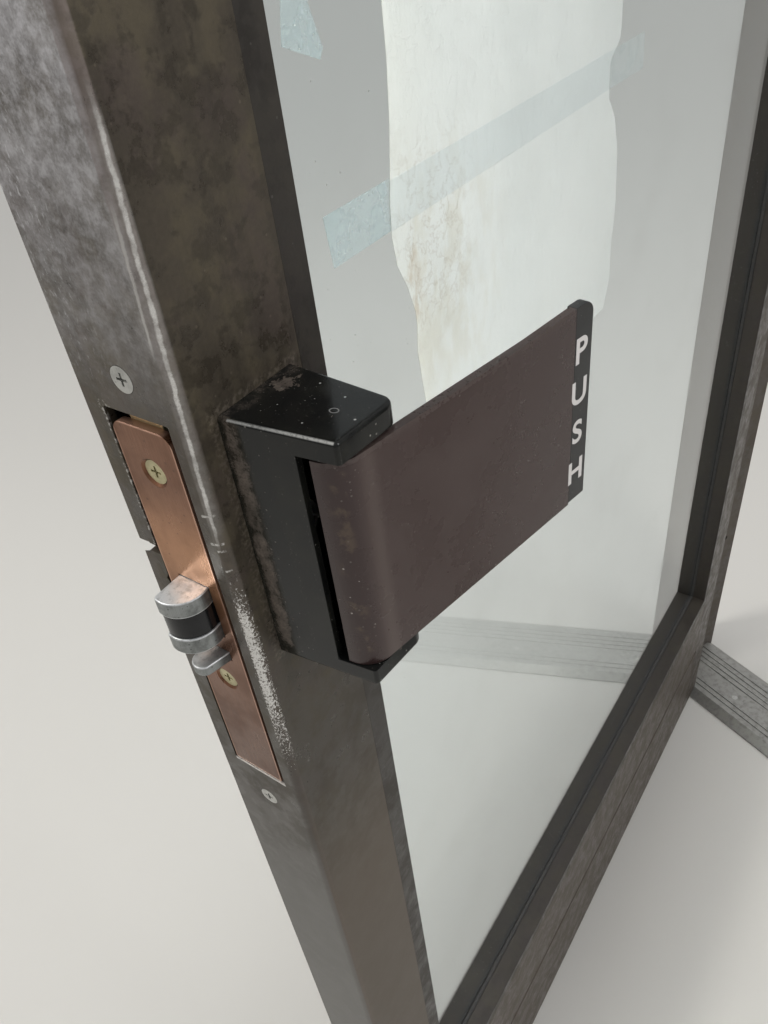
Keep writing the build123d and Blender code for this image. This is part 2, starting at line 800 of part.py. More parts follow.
rod_overhang = 12.0
with BuildPart() as tie_rods:
    with BuildSketch(across(stile_face - wall - rod_overhang)):
        with Locations([(leaf_depth / 2, z) for z in rod_heights]):
            Circle(rod_radius)
    extrude(amount=rail_length + 2 * wall + 2 * rod_overhang)
    for seat, into in ((stile_face - wall, -1), (hinge_stile_x + wall, 1)):
        with BuildSketch(across(seat)):
            with Locations([(leaf_depth / 2, z) for z in rod_heights]):
                RegularPolygon(nut_width / 2, 6, major_radius=False)
                Circle(rod_radius + screw_gap, mode=Mode.SUBTRACT)
        extrude(amount=into * nut_height)
tie_rods.part.label = "tie_rods"
export_step(tie_rods.part, "parts/tie_rods.step")

# Glass, its setting blocks, gaskets and snap-in stops
glass_width = rail_length - 2 * glass_gap
glass_height = pocket_height - 2 * glass_gap
opening_middle = (leaf_width / 2, (pocket_bottom + pocket_top) / 2)

with BuildPart() as glass_pane:
    with BuildSketch(facing(glass_face)):
        with Locations(opening_middle):
            Rectangle(glass_width, glass_height)
    extrude(amount=-glass_thickness)
glass_pane.part.label = "glass_pane"
export_step(glass_pane.part, "parts/glass_pane.step")

with BuildPart() as setting_blocks:
    with BuildSketch(facing(glass_face)):
        with Locations((leaf_width / 2, pocket_bottom + glass_gap / 2)):
            with GridLocations(rail_length / 2, 0, 2, 1):
                Rectangle(block_length, glass_gap)
    extrude(amount=-glass_thickness)
setting_blocks.part.label = "setting_blocks"
export_step(setting_blocks.part, "parts/setting_blocks.step")

with BuildPart() as glass_gaskets:
    for near_face in (stop_depth, glass_face + glass_thickness):
        with BuildSketch(facing(near_face)):
            with Locations(opening_middle):
                Rectangle(rail_length - glass_gap, pocket_height - glass_gap)
                Rectangle(
                    rail_length - 2 * (stop_height + gasket_lap),
                    pocket_height - 2 * (stop_height + gasket_lap),
                    mode=Mode.SUBTRACT,
                )
        extrude(amount=-gasket_thickness)
glass_gaskets.part.label = "glass_gaskets"
export_step(glass_gaskets.part, "parts/glass_gaskets.step")

for name, near_face in (("interior", 0), ("exterior", leaf_depth - stop_depth)):
    middle = near_face + stop_depth / 2
    hollow = stop_depth - 2 * stop_wall

    for edge, foot, inward in (("lock", stile_face, 1), ("hinge", hinge_stile_x, -1)):
        with BuildPart() as upright_stop:
            with BuildSketch(level(pocket_bottom)):
                with Locations((foot + inward * stop_height / 2, middle)):
                    Rectangle(stop_height, stop_depth)
                with Locations((foot + inward * (stop_height - stop_wall) / 2, middle)):
                    Rectangle(stop_height - stop_wall, hollow, mode=Mode.SUBTRACT)
            extrude(amount=pocket_height)
        upright_stop.part.label = f"{name}_{edge}_stop"
        export_step(upright_stop.part, f"parts/{name}_{edge}_stop.step")

    for edge, foot, inward in (("bottom", pocket_bottom, 1), ("top", pocket_top, -1)):
        with BuildPart() as level_stop:
            with BuildSketch(across(sight)):
                with Locations((middle, foot + inward * stop_height / 2)):
                    Rectangle(stop_depth, stop_height)
                with Locations((middle, foot + inward * (stop_height - stop_wall) / 2)):
                    Rectangle(hollow, stop_height - stop_wall, mode=Mode.SUBTRACT)
            extrude(amount=rail_length - 2 * stop_height)
        level_stop.part.label = f"{name}_{edge}_stop"
        export_step(level_stop.part, f"parts/{name}_{edge}_stop.step")

# Faceplate and the brackets behind it
faceplate_middle = latch_height + faceplate_drop
bolt_middle = (bolt_inner + bolt_outer) / 2
trigger_inner = 15.8
trigger_outer = 26.6
trigger_middle = (trigger_inner + trigger_outer) / 2

with BuildPart() as faceplate:
    with BuildSketch(across(faceplate_recess)):
        with Locations((plate_y, faceplate_middle)):
            outline = Rectangle(faceplate_width, faceplate_height)
        fillet(outline.vertices().group_by(Axis.Y)[-1], 6 * edge_radius)
        with Locations((bolt_middle, latch_height + (bolt_top + bolt_bottom) / 2)):
            Rectangle(
                bolt_outer - bolt_inner + 2 * slide_gap,
                bolt_top - bolt_bottom + 2 * slide_gap,
                mode=Mode.SUBTRACT,
            )
        with Locations((trigger_middle, latch_height + (trigger_top + trigger_bottom) / 2)):
            Rectangle(
                trigger_outer - trigger_inner + 2 * slide_gap,
                trigger_top - trigger_bottom + 2 * slide_gap,
                mode=Mode.SUBTRACT,
            )
    extrude(amount=faceplate_thickness)
    for height in (upper_screw, lower_screw):
        with Locations(leaf * Location((faceplate_recess, plate_y, latch_height + height), (0, -90, 0))):
            sunk_hole(faceplate_thickness, sink=screw_sink)
faceplate.part.label = "faceplate"
export_step(faceplate.part, "parts/faceplate.step")

bracket_reach = 112.0
bracket_top_gap = 2.0
bracket_bottom_gap = 12.0
bracket_ends = (
    (bracket_reach, case_top + bracket_top_gap),
    (-bracket_reach, case_bottom - bracket_bottom_gap),
)

with BuildPart() as mounting_brackets:
    for far, near in bracket_ends:
        with BuildSketch(across(wall)):
            with Locations((lock_middle, latch_height + (far + near) / 2)):
                Rectangle(bracket_width, abs(far - near))
        extrude(amount=bracket_thickness)
    bracket_holes = (
        (lock_middle, bracket_screw_top),
        (lock_middle, bracket_screw_bottom),
        (plate_y, upper_screw),
    )
    with BuildSketch(across(wall)):
        with Locations([(y, latch_height + z) for y, z in bracket_holes]):
            Circle(screw_hole)
    extrude(amount=bracket_thickness, mode=Mode.SUBTRACT)
mounting_brackets.part.label = "mounting_brackets"
export_step(mounting_brackets.part, "parts/mounting_brackets.step")

lock_screw = flat_screw(length=10.0, recess=True)
with BuildPart() as bracket_screws:
    for height in (bracket_screw_top, bracket_screw_bottom):
        with Locations(leaf * Location((0, lock_middle, latch_height + height), (0, -90, 0))):
            add(lock_screw)
bracket_screws.part.label = "bracket_screws"
export_step(bracket_screws.part, "parts/bracket_screws.step")

with BuildPart() as faceplate_screws:
    for height in (upper_screw, lower_screw):
        screw_face = faceplate_recess + screw_sink
        with Locations(leaf * Location((screw_face, plate_y, latch_height + height), (0, -90, 0))):
            add(lock_screw)
faceplate_screws.part.label = "faceplate_screws"
export_step(faceplate_screws.part, "parts/faceplate_screws.step")

# Lock case: an open-fronted box with a ring hole for a cylinder in each side
case_depth = case_back - plate_back
case_height = case_top - case_bottom
case_centre = ((case_back + plate_back) / 2, latch_height + (case_top + case_bottom) / 2)
boss_depth = 10.0
boss_height = 9.0

with BuildPart() as lock_case:
    with BuildSketch(facing(case_start)):
        with Locations(case_centre):
            outline = Rectangle(case_depth, case_height)
            fillet(outline.vertices().group_by(Axis.X)[-1], 3 * edge_radius)
    extrude(amount=-case_width)
    with BuildSketch(facing(case_start + case_wall)):
        with Locations((case_centre[0] - case_wall, case_centre[1])):
            Rectangle(case_depth, case_height - 2 * case_wall)
    extrude(amount=-(case_width - 2 * case_wall), mode=Mode.SUBTRACT)
    with BuildSketch(facing(case_start)):
        with Locations((backset, drive_z)):
            Circle(cylinder_radius + hole_gap)
    extrude(amount=-case_width, mode=Mode.SUBTRACT)
    with BuildSketch(across(plate_back)):
        with Locations((plate_y, latch_height + lower_screw)):
            Rectangle(case_width - case_wall, boss_height)
    extrude(amount=boss_depth)
    with BuildSketch(across(plate_back)):
        with Locations((plate_y, latch_height + lower_screw)):
            Circle(screw_hole)
    extrude(amount=boss_depth, mode=Mode.SUBTRACT)
lock_case.part.label = "lock_case"
export_step(lock_case.part, "parts/lock_case.step")

# Latch bolt: a dark core between two steel side plates, its nose curved on the inside
def bolt_nose_plan(inset):
    """Return the bolt's plan, shrunk by an inset: flat on the outside, curved on the inside."""
    outer_side = bolt_outer - inset
    tip = inset - bolt_nose
    belly_x, belly_y = bolt_belly
    with BuildSketch() as plan:
        with BuildLine():
            Line((bolt_root, outer_side), (tip + 1, outer_side))
            Line((tip + 1, outer_side), (tip, outer_side - 1))
            ThreePointArc((tip, outer_side - 1), (belly_x + inset, belly_y + inset), (0, bolt_inner + inset))
            Line((0, bolt_inner + inset), (bolt_root, bolt_inner + inset))
            Line((bolt_root, bolt_inner + inset), (bolt_root, outer_side))
        make_face()
    return plan.sketch


core_plan = bolt_nose_plan(core_inset)
plate_plan = bolt_nose_plan(0)
bushing_end = case_start + case_wall
finger_start = bushing_end + finger_setback
plug_cam_start = finger_start + finger_thickness + cam_gap
cylinder_start = plug_cam_start + plug_cam_thickness + cam_gap
lug_front = backset - bolt_travel / 2 + finger_tip + finger_gap
lug_end = cylinder_start - slide_gap
tail_middle = bolt_middle

with BuildPart() as bolt_core:
    with BuildSketch(level(latch_height + bolt_core_bottom)):
        add(core_plan)
        with Locations(((bolt_root + lug_front + lug_thickness) / 2, tail_middle)):
            Rectangle(lug_front + lug_thickness - bolt_root, tail_width)
    extrude(amount=bolt_core_top - bolt_core_bottom)
    with BuildSketch(level(latch_height + bolt_core_top)):
        with Locations((lug_front + lug_thickness / 2, (finger_start + lug_end) / 2)):
            Rectangle(lug_thickness, lug_end - finger_start)
    extrude(amount=lug_top - bolt_core_top)
bolt_core.part.label = "latch_bolt_core"
export_step(bolt_core.part, "parts/latch_bolt_core.step")

with BuildPart() as bolt_plates:
    for low, high in ((bolt_bottom, bolt_core_bottom), (bolt_core_top, bolt_top)):
        with BuildSketch(level(latch_height + low)):
            add(plate_plan)
        extrude(amount=high - low)
bolt_plates.part.label = "latch_bolt_side_plates"
export_step(bolt_plates.part, "parts/latch_bolt_side_plates.step")

# Deadlatch trigger under the bolt
with BuildPart() as trigger:
    with BuildSketch(level(latch_height + trigger_bottom)):
        with BuildLine():
            Line((0, trigger_outer), (trigger_shoulder, trigger_outer))
            ThreePointArc((trigger_shoulder, trigger_outer), (-trigger_travel, trigger_crown), trigger_heel)
            Line(trigger_heel, (0, trigger_inner))
            Line((0, trigger_inner), (0, trigger_outer))
        make_face()
        with Locations((trigger_tail / 2, trigger_middle)):
            Rectangle(trigger_tail, trigger_outer - trigger_inner)
    extrude(amount=trigger_top - trigger_bottom)
trigger.part.label = "deadlatch_trigger"
export_step(trigger.part, "parts/deadlatch_trigger.step")

# Drive cam: the spindle that the paddle turns, with a crank pin inside the housing and a finger in the case
half_turn = bolt_travel / 2 / finger_length
finger_drop = finger_length * (1 - half_turn**2) ** 0.5
finger_rest = (backset - bolt_travel / 2, drive_z - finger_drop)
crank_rest = (backset + crank_radius * half_turn, drive_z + crank_radius * (1 - half_turn**2) ** 0.5)
disc_radius = 8.5
disc_gap = 0.3
disc_thickness = 3.5
crank_length = 8.0
disc_start = -housing_wall - disc_gap
disc_end = disc_start - disc_thickness
crank_end = disc_end - crank_length

with BuildPart() as drive_cam:
    with BuildSketch(facing(finger_start + finger_thickness)):
        with Locations((backset, drive_z)):
            Circle(drive_radius)
    extrude(amount=finger_start + finger_thickness - disc_start)
    with BuildSketch(facing(disc_start)):
        with Locations((backset, drive_z)):
            Circle(disc_radius)
    extrude(amount=disc_start - disc_end)
    with BuildSketch(facing(disc_end)):
        with Locations(crank_rest):
            Circle(crank_pin)
    extrude(amount=disc_end - crank_end)
    with BuildSketch(facing(finger_start + finger_thickness)):
        with Locations((backset, drive_z), finger_rest):
            Circle(finger_tip)
        make_hull()
    extrude(amount=finger_thickness)
drive_cam.part.label = "drive_cam"
export_step(drive_cam.part, "parts/drive_cam.step")

# Key cylinder on the outside face, with its ring, plug and cam
cylinder_proud = 6.0
cylinder_face = leaf_depth + cylinder_proud
ring_thickness = 4.5
ring_radius = 18.5
plug_radius = 6.35
plug_cam_length = 10.8
plug_cam_tip = 2.0
key_slot_width = 1.4
key_slot_height = 8.0

with BuildPart() as cylinder_body:
    with BuildSketch(facing(cylinder_face)):
        with Locations((backset, drive_z)):
            Circle(cylinder_radius)
            Circle(plug_radius + drive_clearance, mode=Mode.SUBTRACT)
    extrude(amount=cylinder_face - cylinder_start)
cylinder_body.part.label = "cylinder_body"
export_step(cylinder_body.part, "parts/cylinder_body.step")

with BuildPart() as cylinder_ring:
    with BuildSketch(facing(leaf_depth)):
        with Locations((backset, drive_z)):
            Circle(ring_radius)
    extrude(amount=-ring_thickness)
    rim = cylinder_ring.edges().filter_by(GeomType.CIRCLE).sort_by(Axis((0, 0, 0), facing(0).z_dir))[0]
    chamfer(rim, 2.0)
    with BuildSketch(facing(leaf_depth)):
        with Locations((backset, drive_z)):
            Circle(cylinder_radius + screw_gap)
    extrude(amount=-ring_thickness, mode=Mode.SUBTRACT)
cylinder_ring.part.label = "cylinder_ring"
export_step(cylinder_ring.part, "parts/cylinder_ring.step")

with BuildPart() as cylinder_plug:
    with BuildSketch(facing(cylinder_face)):
        with Locations((backset, drive_z)):
            Circle(plug_radius)
    extrude(amount=cylinder_face - plug_cam_start)
    with BuildSketch(facing(cylinder_face)):
        with Locations((backset, drive_z)):
            Rectangle(key_slot_width, key_slot_height)
    extrude(amount=2.5, mode=Mode.SUBTRACT)
    with BuildSketch(facing(plug_cam_start + plug_cam_thickness)):
        with Locations((backset, drive_z), (backset, drive_z + plug_cam_length)):
            Circle(plug_cam_tip)
        make_hull()
    extrude(amount=plug_cam_thickness)
cylinder_plug.part.label = "cylinder_plug"
export_step(cylinder_plug.part, "parts/cylinder_plug.step")

# Paddle housing: a bevelled shell with a lip above and below the paddle, and a bushing for the drive cam
left_slope = (front_left[0] - housing_left) / -front_left[1]
right_slope = (housing_right - front_right[0]) / -front_right[1]

with BuildPart() as paddle_housing:
    with BuildSketch(level(latch_height + housing_bottom)) as plan:
        with BuildLine():
            Polyline((housing_left, 0), (housing_right, 0), front_right, front_left, close=True)
        make_face()
        fillet(plan.vertices().sort_by(Axis.Y)[1], housing_edge)
        fillet(plan.vertices().sort_by(Axis.Y)[0], housing_corner)
    extrude(amount=housing_height)
    flats = paddle_housing.faces().sort_by(Axis.Z)
    rims = flats[0].edges() + flats[-1].edges()
    outer_rims = rims.filter_by(lambda edge: abs((leaf.inverse() * edge).center().Y) > housing_edge)
    fillet(outer_rims, housing_edge)
    with BuildSketch(level(latch_height + cavity_bottom)):
        with BuildLine():
            Polyline(
                (housing_left + housing_wall, -housing_wall),
                (housing_right - housing_wall, -housing_wall),
                (housing_right - housing_wall - right_slope * right_wall_reach, -right_wall_reach),
                (housing_right + lip_thickness, -right_wall_reach),
                (housing_right + lip_thickness, front_right[1] - lip_thickness),
                (housing_left - lip_thickness, front_right[1] - lip_thickness),
                (housing_left - lip_thickness, -left_wall_reach),
                (housing_left + housing_wall + left_slope * left_wall_reach, -left_wall_reach),
                close=True,
            )
        make_face()
    extrude(amount=cavity_height, mode=Mode.SUBTRACT)
    with BuildSketch(facing(0)):
        with Locations((backset, drive_z)):
            Circle(cylinder_radius)
    extrude(amount=-bushing_end)
    with BuildSketch(facing(-housing_wall)):
        with Locations((backset, drive_z)):
            Circle(drive_radius + drive_clearance)
    extrude(amount=-(bushing_end + housing_wall), mode=Mode.SUBTRACT)
    with BuildSketch(facing(-housing_wall)):
        with Locations([(backset, latch_height + z) for z in housing_screw_heights]):
            Circle(screw_hole)
    extrude(amount=-housing_wall, mode=Mode.SUBTRACT)
    with BuildSketch(level(latch_height + housing_bottom + housing_wall)):
        with Locations(paddle_pivot):
            Circle(paddle_pin_radius + drive_clearance)
    extrude(amount=housing_height - 2 * housing_wall, mode=Mode.SUBTRACT)
paddle_housing.part.label = "paddle_housing"
export_step(paddle_housing.part, "parts/paddle_housing.step")

with BuildPart() as housing_screws:
    for height in housing_screw_heights:
        with BuildSketch(facing(-housing_wall)):
            with Locations((backset, latch_height + height)):
                Circle(screw_head)
        extrude(amount=screw_head_depth)
        with BuildSketch(facing(-housing_wall)):
            with Locations((backset, latch_height + height)):
                Circle(screw_radius)
        extrude(amount=-(housing_wall + wall + 3.0))
housing_screws.part.label = "housing_screws"
export_step(housing_screws.part, "parts/housing_screws.step")

with BuildPart() as paddle_pin:
    with BuildSketch(level(latch_height + housing_bottom + housing_wall)):
        with Locations(paddle_pivot):
            Circle(paddle_pin_radius)
    extrude(amount=housing_height - 2 * housing_wall)
paddle_pin.part.label = "paddle_pin"
export_step(paddle_pin.part, "parts/paddle_pin.step")

# Paddle: a bent plate with a hub on the pin and a toe that pushes the drive cam's crank
lean = radians(paddle_lean)
along = (cos(lean), -sin(lean))
inward = (sin(lean), cos(lean))
back_reach = (paddle_face_start[0] - paddle_side) / cos(lean)
face_root = (paddle_side, paddle_face_start[1] + back_reach * sin(lean))
plate_reach = paddle_reach - end_cap_length
plate_end = tuple(paddle_face_start[k] + along[k] * plate_reach for k in (0, 1))
spring_bottom = paddle_bottom + spring_height
toe_drop = 1.0
toe_bottom = drive_height + crank_radius - toe_height / 2 - toe_drop
toe_width = 4.0
toe_hook = 5.0
toe_back = 6.0
toe_root_inside = (2.0, 3.0)
toe_root_outside = (4.0, -1.0)


def paddle_front(depth):
    """Plane along the paddle's face at a depth behind it: x along the paddle, y up from the latch."""
    origin = (face_root[0] + inward[0] * depth, face_root[1] + inward[1] * depth, latch_height)
    parallel = Plane(origin=origin, x_dir=(along[0], along[1], 0), z_dir=(-inward[0], -inward[1], 0))
    return Plane(leaf * parallel.location)


plate_length = back_reach + plate_reach

with BuildPart() as paddle:
    with BuildSketch(level(latch_height + paddle_bottom)):
        with BuildLine():
            side_start = (paddle_side - paddle_draft, paddle_side_end)
            skin = FilletPolyline(side_start, face_root, plate_end, radius=paddle_bend)
            offset(skin, amount=paddle_thickness, side=Side.LEFT)
        make_face()
    extrude(amount=paddle_height)
    with BuildSketch(paddle_front(paddle_thickness)):
        with BuildLine():
            top = paddle_bottom + paddle_height
            Polyline(
                (plate_length - flare_length, top),
                (plate_length, top + flare_rise),
                (plate_length, top - flare_rise),
                (plate_length - flare_length, top - flare_rise),
                close=True,
            )
        make_face()
    extrude(amount=paddle_thickness)
    with BuildSketch(paddle_front(paddle_thickness - tongue_inset)):
        with Locations((plate_length + end_cap_lap / 2, paddle_bottom + paddle_height / 2)):
            Rectangle(end_cap_lap, paddle_height - 2 * tongue_margin)
    extrude(amount=paddle_thickness - 2 * tongue_inset)
    with BuildSketch(level(latch_height + paddle_bottom)):
        with Locations(paddle_pivot):
            Circle(paddle_hub)
    extrude(amount=paddle_height)
    with BuildSketch(level(latch_height + toe_bottom)):
        with BuildLine():
            Polyline(
                (paddle_pivot[0] + toe_root_inside[0], paddle_pivot[1] + toe_root_inside[1]),
                (toe_face, toe_tip - toe_hook),
                (toe_face, toe_tip),
                (toe_face + toe_width, toe_tip),
                (toe_face + toe_width, toe_tip - toe_back),
                (paddle_pivot[0] + toe_root_outside[0], paddle_pivot[1] + toe_root_outside[1]),
                close=True,
            )
        make_face()
    extrude(amount=toe_height)
    with BuildSketch(level(latch_height + spring_bottom)):
        with Locations(paddle_pivot):
            Circle(paddle_hub + spring_clearance)
    extrude(amount=spring_length, mode=Mode.SUBTRACT)
    with BuildSketch(level(latch_height + paddle_bottom)):
        with Locations(paddle_pivot):
            Circle(paddle_pin_radius + pin_clearance)
    extrude(amount=paddle_height, mode=Mode.SUBTRACT)
paddle.part.label = "paddle"
export_step(paddle.part, "parts/paddle.step")

cap_low = paddle_bottom + end_cap_step
cap_high = paddle_bottom + paddle_height + flare_rise

with BuildPart() as paddle_end_cap:
    with BuildSketch(paddle_front(paddle_thickness + end_cap_back)):
        with Locations((plate_length + end_cap_length / 2, (cap_low + cap_high) / 2)):
            outline = Rectangle(end_cap_length, cap_high - cap_low)
            fillet(outline.vertices().group_by(Axis.X)[-1].sort_by(Axis.Y)[-1], end_cap_corner)
    extrude(amount=paddle_thickness + end_cap_back)
    with BuildSketch(paddle_front(paddle_thickness - tongue_inset + screw_gap)):
        with Locations((plate_length + end_cap_lap / 2, paddle_bottom + paddle_height / 2)):
            Rectangle(end_cap_lap + 2 * screw_gap, paddle_height - 2 * tongue_margin + 2 * screw_gap)
    extrude(amount=paddle_thickness - 2 * tongue_inset + 2 * screw_gap, mode=Mode.SUBTRACT)
paddle_end_cap.part.label = "paddle_end_cap"
export_step(paddle_end_cap.part, "parts/paddle_end_cap.step")

# Return spring round the paddle's pin, its close turns as one grooved sleeve
spring_wire = 1.8
spring_turns = 7
spring_bore = paddle_pin_radius + 0.2

with BuildPart() as return_spring:
    with BuildSketch(Plane.XZ):
        with BuildLine():
            grooves = [(spring_bore, 0)]
            for turn in range(spring_turns):
                grooves.append((spring_bore + spring_wire / 2, spring_wire * turn))
                grooves.append((spring_bore + spring_wire, spring_wire * (turn + 0.5)))
            grooves.append((spring_bore + spring_wire / 2, spring_wire * spring_turns))
            grooves.append((spring_bore, spring_wire * spring_turns))
            Polyline(*grooves, close=True)
        make_face()
    revolve(axis=Axis.Z)
spring_end_gap = (spring_length - spring_wire * spring_turns) / 2
spring_seat = leaf * Location((*paddle_pivot, latch_height + spring_bottom + spring_end_gap))
coiled_spring = return_spring.part.moved(spring_seat)
coiled_spring.label = "return_spring"
export_step(coiled_spring, "parts/return_spring.step")

# Two paper sheets and the clear tape that holds them on the outside of the glass
paper_width = 215.9
paper_height = 279.4
paper_thickness = 0.3
tape_thickness = 0.2
tape_width = 48.0
glass_outside = glass_face + glass_thickness
lower_paper = (252.0, 100.0)
upper_paper = (246.5, 248.0)
lower_turn = 1.5
upper_turn = -1.0
tape_strips = (
    ((290.0, 96.0), 400.0, 5.0),
    ((110.0, 196.0), 60.0, -38.0),
    ((330.0, 330.0), 120.0, 4.0),
)

with BuildPart() as lower_notice:
    with BuildSketch(facing(glass_outside)):
        with Locations(Location((lower_paper[0], latch_height + lower_paper[1]), lower_turn)):
            Rectangle(paper_width, paper_height)
    extrude(amount=-paper_thickness)
lower_notice.part.label = "lower_notice"
export_step(lower_notice.part, "parts/lower_notice.step")

with BuildPart() as upper_notice:
    with BuildSketch(facing(glass_outside + paper_thickness)):
        with Locations(Location((upper_paper[0], latch_height + upper_paper[1]), upper_turn)):
            Rectangle(paper_width, paper_height)
    extrude(amount=-paper_thickness)
upper_notice.part.label = "upper_notice"
export_step(upper_notice.part, "parts/upper_notice.step")

with BuildPart() as notice_tape:
    with BuildSketch(facing(glass_outside + 2 * paper_thickness)):
        for (x, z), length, turn in tape_strips:
            with Locations(Location((x, latch_height + z), turn)):
                Rectangle(length, tape_width)
    extrude(amount=-tape_thickness)
notice_tape.part.label = "notice_tape"
export_step(notice_tape.part, "parts/notice_tape.step")
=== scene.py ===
"""Dressed model of a narrow-stile glass door that stands open in its frame.

Every length is in millimetres where a name ends in _mm, and in metres elsewhere. The leaf has a frame of its
own: u runs from its lock edge to its hinge edge, y through it from the inside face, and w up from the middle
of the latch. Patterns on the leaf are drawn in that frame, in millimetres.
"""

import json
import logging
import math
from collections.abc import Callable
from dataclasses import dataclass
from enum import Enum
from functools import reduce

import bmesh
import bpy
from mathutils import Matrix, Vector

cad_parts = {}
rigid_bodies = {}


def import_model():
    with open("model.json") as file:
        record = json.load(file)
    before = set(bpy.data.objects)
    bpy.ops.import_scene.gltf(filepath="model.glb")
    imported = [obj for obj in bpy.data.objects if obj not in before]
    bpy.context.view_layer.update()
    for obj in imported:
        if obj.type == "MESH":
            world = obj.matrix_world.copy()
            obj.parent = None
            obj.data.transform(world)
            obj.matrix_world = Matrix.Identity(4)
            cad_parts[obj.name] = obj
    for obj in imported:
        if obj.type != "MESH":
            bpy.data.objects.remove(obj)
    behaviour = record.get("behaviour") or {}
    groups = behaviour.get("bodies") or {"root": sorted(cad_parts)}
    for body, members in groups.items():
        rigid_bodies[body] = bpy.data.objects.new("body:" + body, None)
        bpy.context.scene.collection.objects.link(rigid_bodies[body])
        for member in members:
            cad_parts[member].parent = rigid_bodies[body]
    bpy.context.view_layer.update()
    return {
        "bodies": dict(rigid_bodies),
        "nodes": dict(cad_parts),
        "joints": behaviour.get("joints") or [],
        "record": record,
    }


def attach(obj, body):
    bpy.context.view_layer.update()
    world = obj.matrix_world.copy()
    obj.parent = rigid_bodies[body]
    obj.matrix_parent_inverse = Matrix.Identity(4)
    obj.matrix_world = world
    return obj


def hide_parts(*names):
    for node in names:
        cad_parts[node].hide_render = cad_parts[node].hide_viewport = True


log = logging.getLogger("glass_door")
MM = 0.001
Colour = tuple[float, float, float]
Triple = tuple[float, float, float]
Outline = tuple[tuple[float, float], ...]


def paint(colour: Colour) -> tuple[float, float, float, float]:
    """Turn a colour read from a screen into the linear colour that a shader takes.

    Args:
        colour: Red, green and blue, 0 to 255.

    Returns:
        The linear colour with an alpha of 1.
    """
    shares = [part / 255 for part in colour]
    linear = [share / 12.92 if share <= 0.04045 else ((share + 0.055) / 1.055) ** 2.4 for share in shares]
    return (*linear, 1.0)


def scaled(colour: Colour, *by: float) -> Colour:
    """Brighten or darken a colour.

    Args:
        colour: Red, green and blue, 0 to 255.
        by: One number for all three, or one for each.

    Returns:
        The new colour, held at 255.
    """
    return tuple(min(255.0, part * share) for part, share in zip(colour, by * len(colour)))


@dataclass(frozen=True)
class LeafPlace:
    """Where the open leaf stands in the row frame.

    Attributes:
        origin_mm: The lock edge's inside corner at the height of the latch.
        turn_deg: How far the leaf has swung about the upright.
    """

    origin_mm: Triple = (54.7532, 787.588, 931.5)
    turn_deg: float = -68.0

    def matrix(self) -> Matrix:
        """Return the change from the leaf's frame, in metres, to the row frame."""
        shift = Matrix.Translation(Vector(self.origin_mm) * MM)
        return shift @ Matrix.Rotation(math.radians(self.turn_deg), 4, "Z")

    def point(self, u: float, y: float, w: float) -> Vector:
        """Return the row-frame place of a leaf point given in millimetres."""
        return self.matrix() @ (Vector((u, y, w)) * MM)


LEAF = LeafPlace()


class Edge(Enum):
    """How a copied form's sharp edges are softened: bevel width in millimetres and number of flats."""

    CRISP = (0.25, 2)
    EASED = (0.5, 2)
    ROUND = (1.2, 3)

    @property
    def width(self) -> float:
        """Bevel width in metres."""
        return self.value[0] * MM

    @property
    def segments(self) -> int:
        """Number of flats across the bevel."""
        return self.value[1]


# ---- shader tools


@dataclass(frozen=True)
class Signal:
    """What a node gives. It takes part in sums as a number does, and each sum is a Math node.

    Attributes:
        shader: The tool of the tree that it is in.
        socket: The output socket that gives it.
    """

    shader: "Shader"
    socket: bpy.types.NodeSocket

    def __add__(self, other: "Signal | float") -> "Signal":
        """Add a value."""
        return self.shader.math("ADD", self, other)

    __radd__ = __add__

    def __sub__(self, other: "Signal | float") -> "Signal":
        """Take a value from this one."""
        return self.shader.math("SUBTRACT", self, other)

    def __rsub__(self, other: float) -> "Signal":
        """Take this value from a number."""
        return self.shader.math("SUBTRACT", other, self)

    def __mul__(self, other: "Signal | float") -> "Signal":
        """Multiply by a value."""
        return self.shader.math("MULTIPLY", self, other)

    def __truediv__(self, other: "Signal | float") -> "Signal":
        """Divide by a value."""
        return self.shader.math("DIVIDE", self, other)

    def held(self) -> "Signal":
        """Hold the sum that this value comes from between 0 and 1."""
        self.socket.node.use_clamp = True
        return self


Value = Signal | float


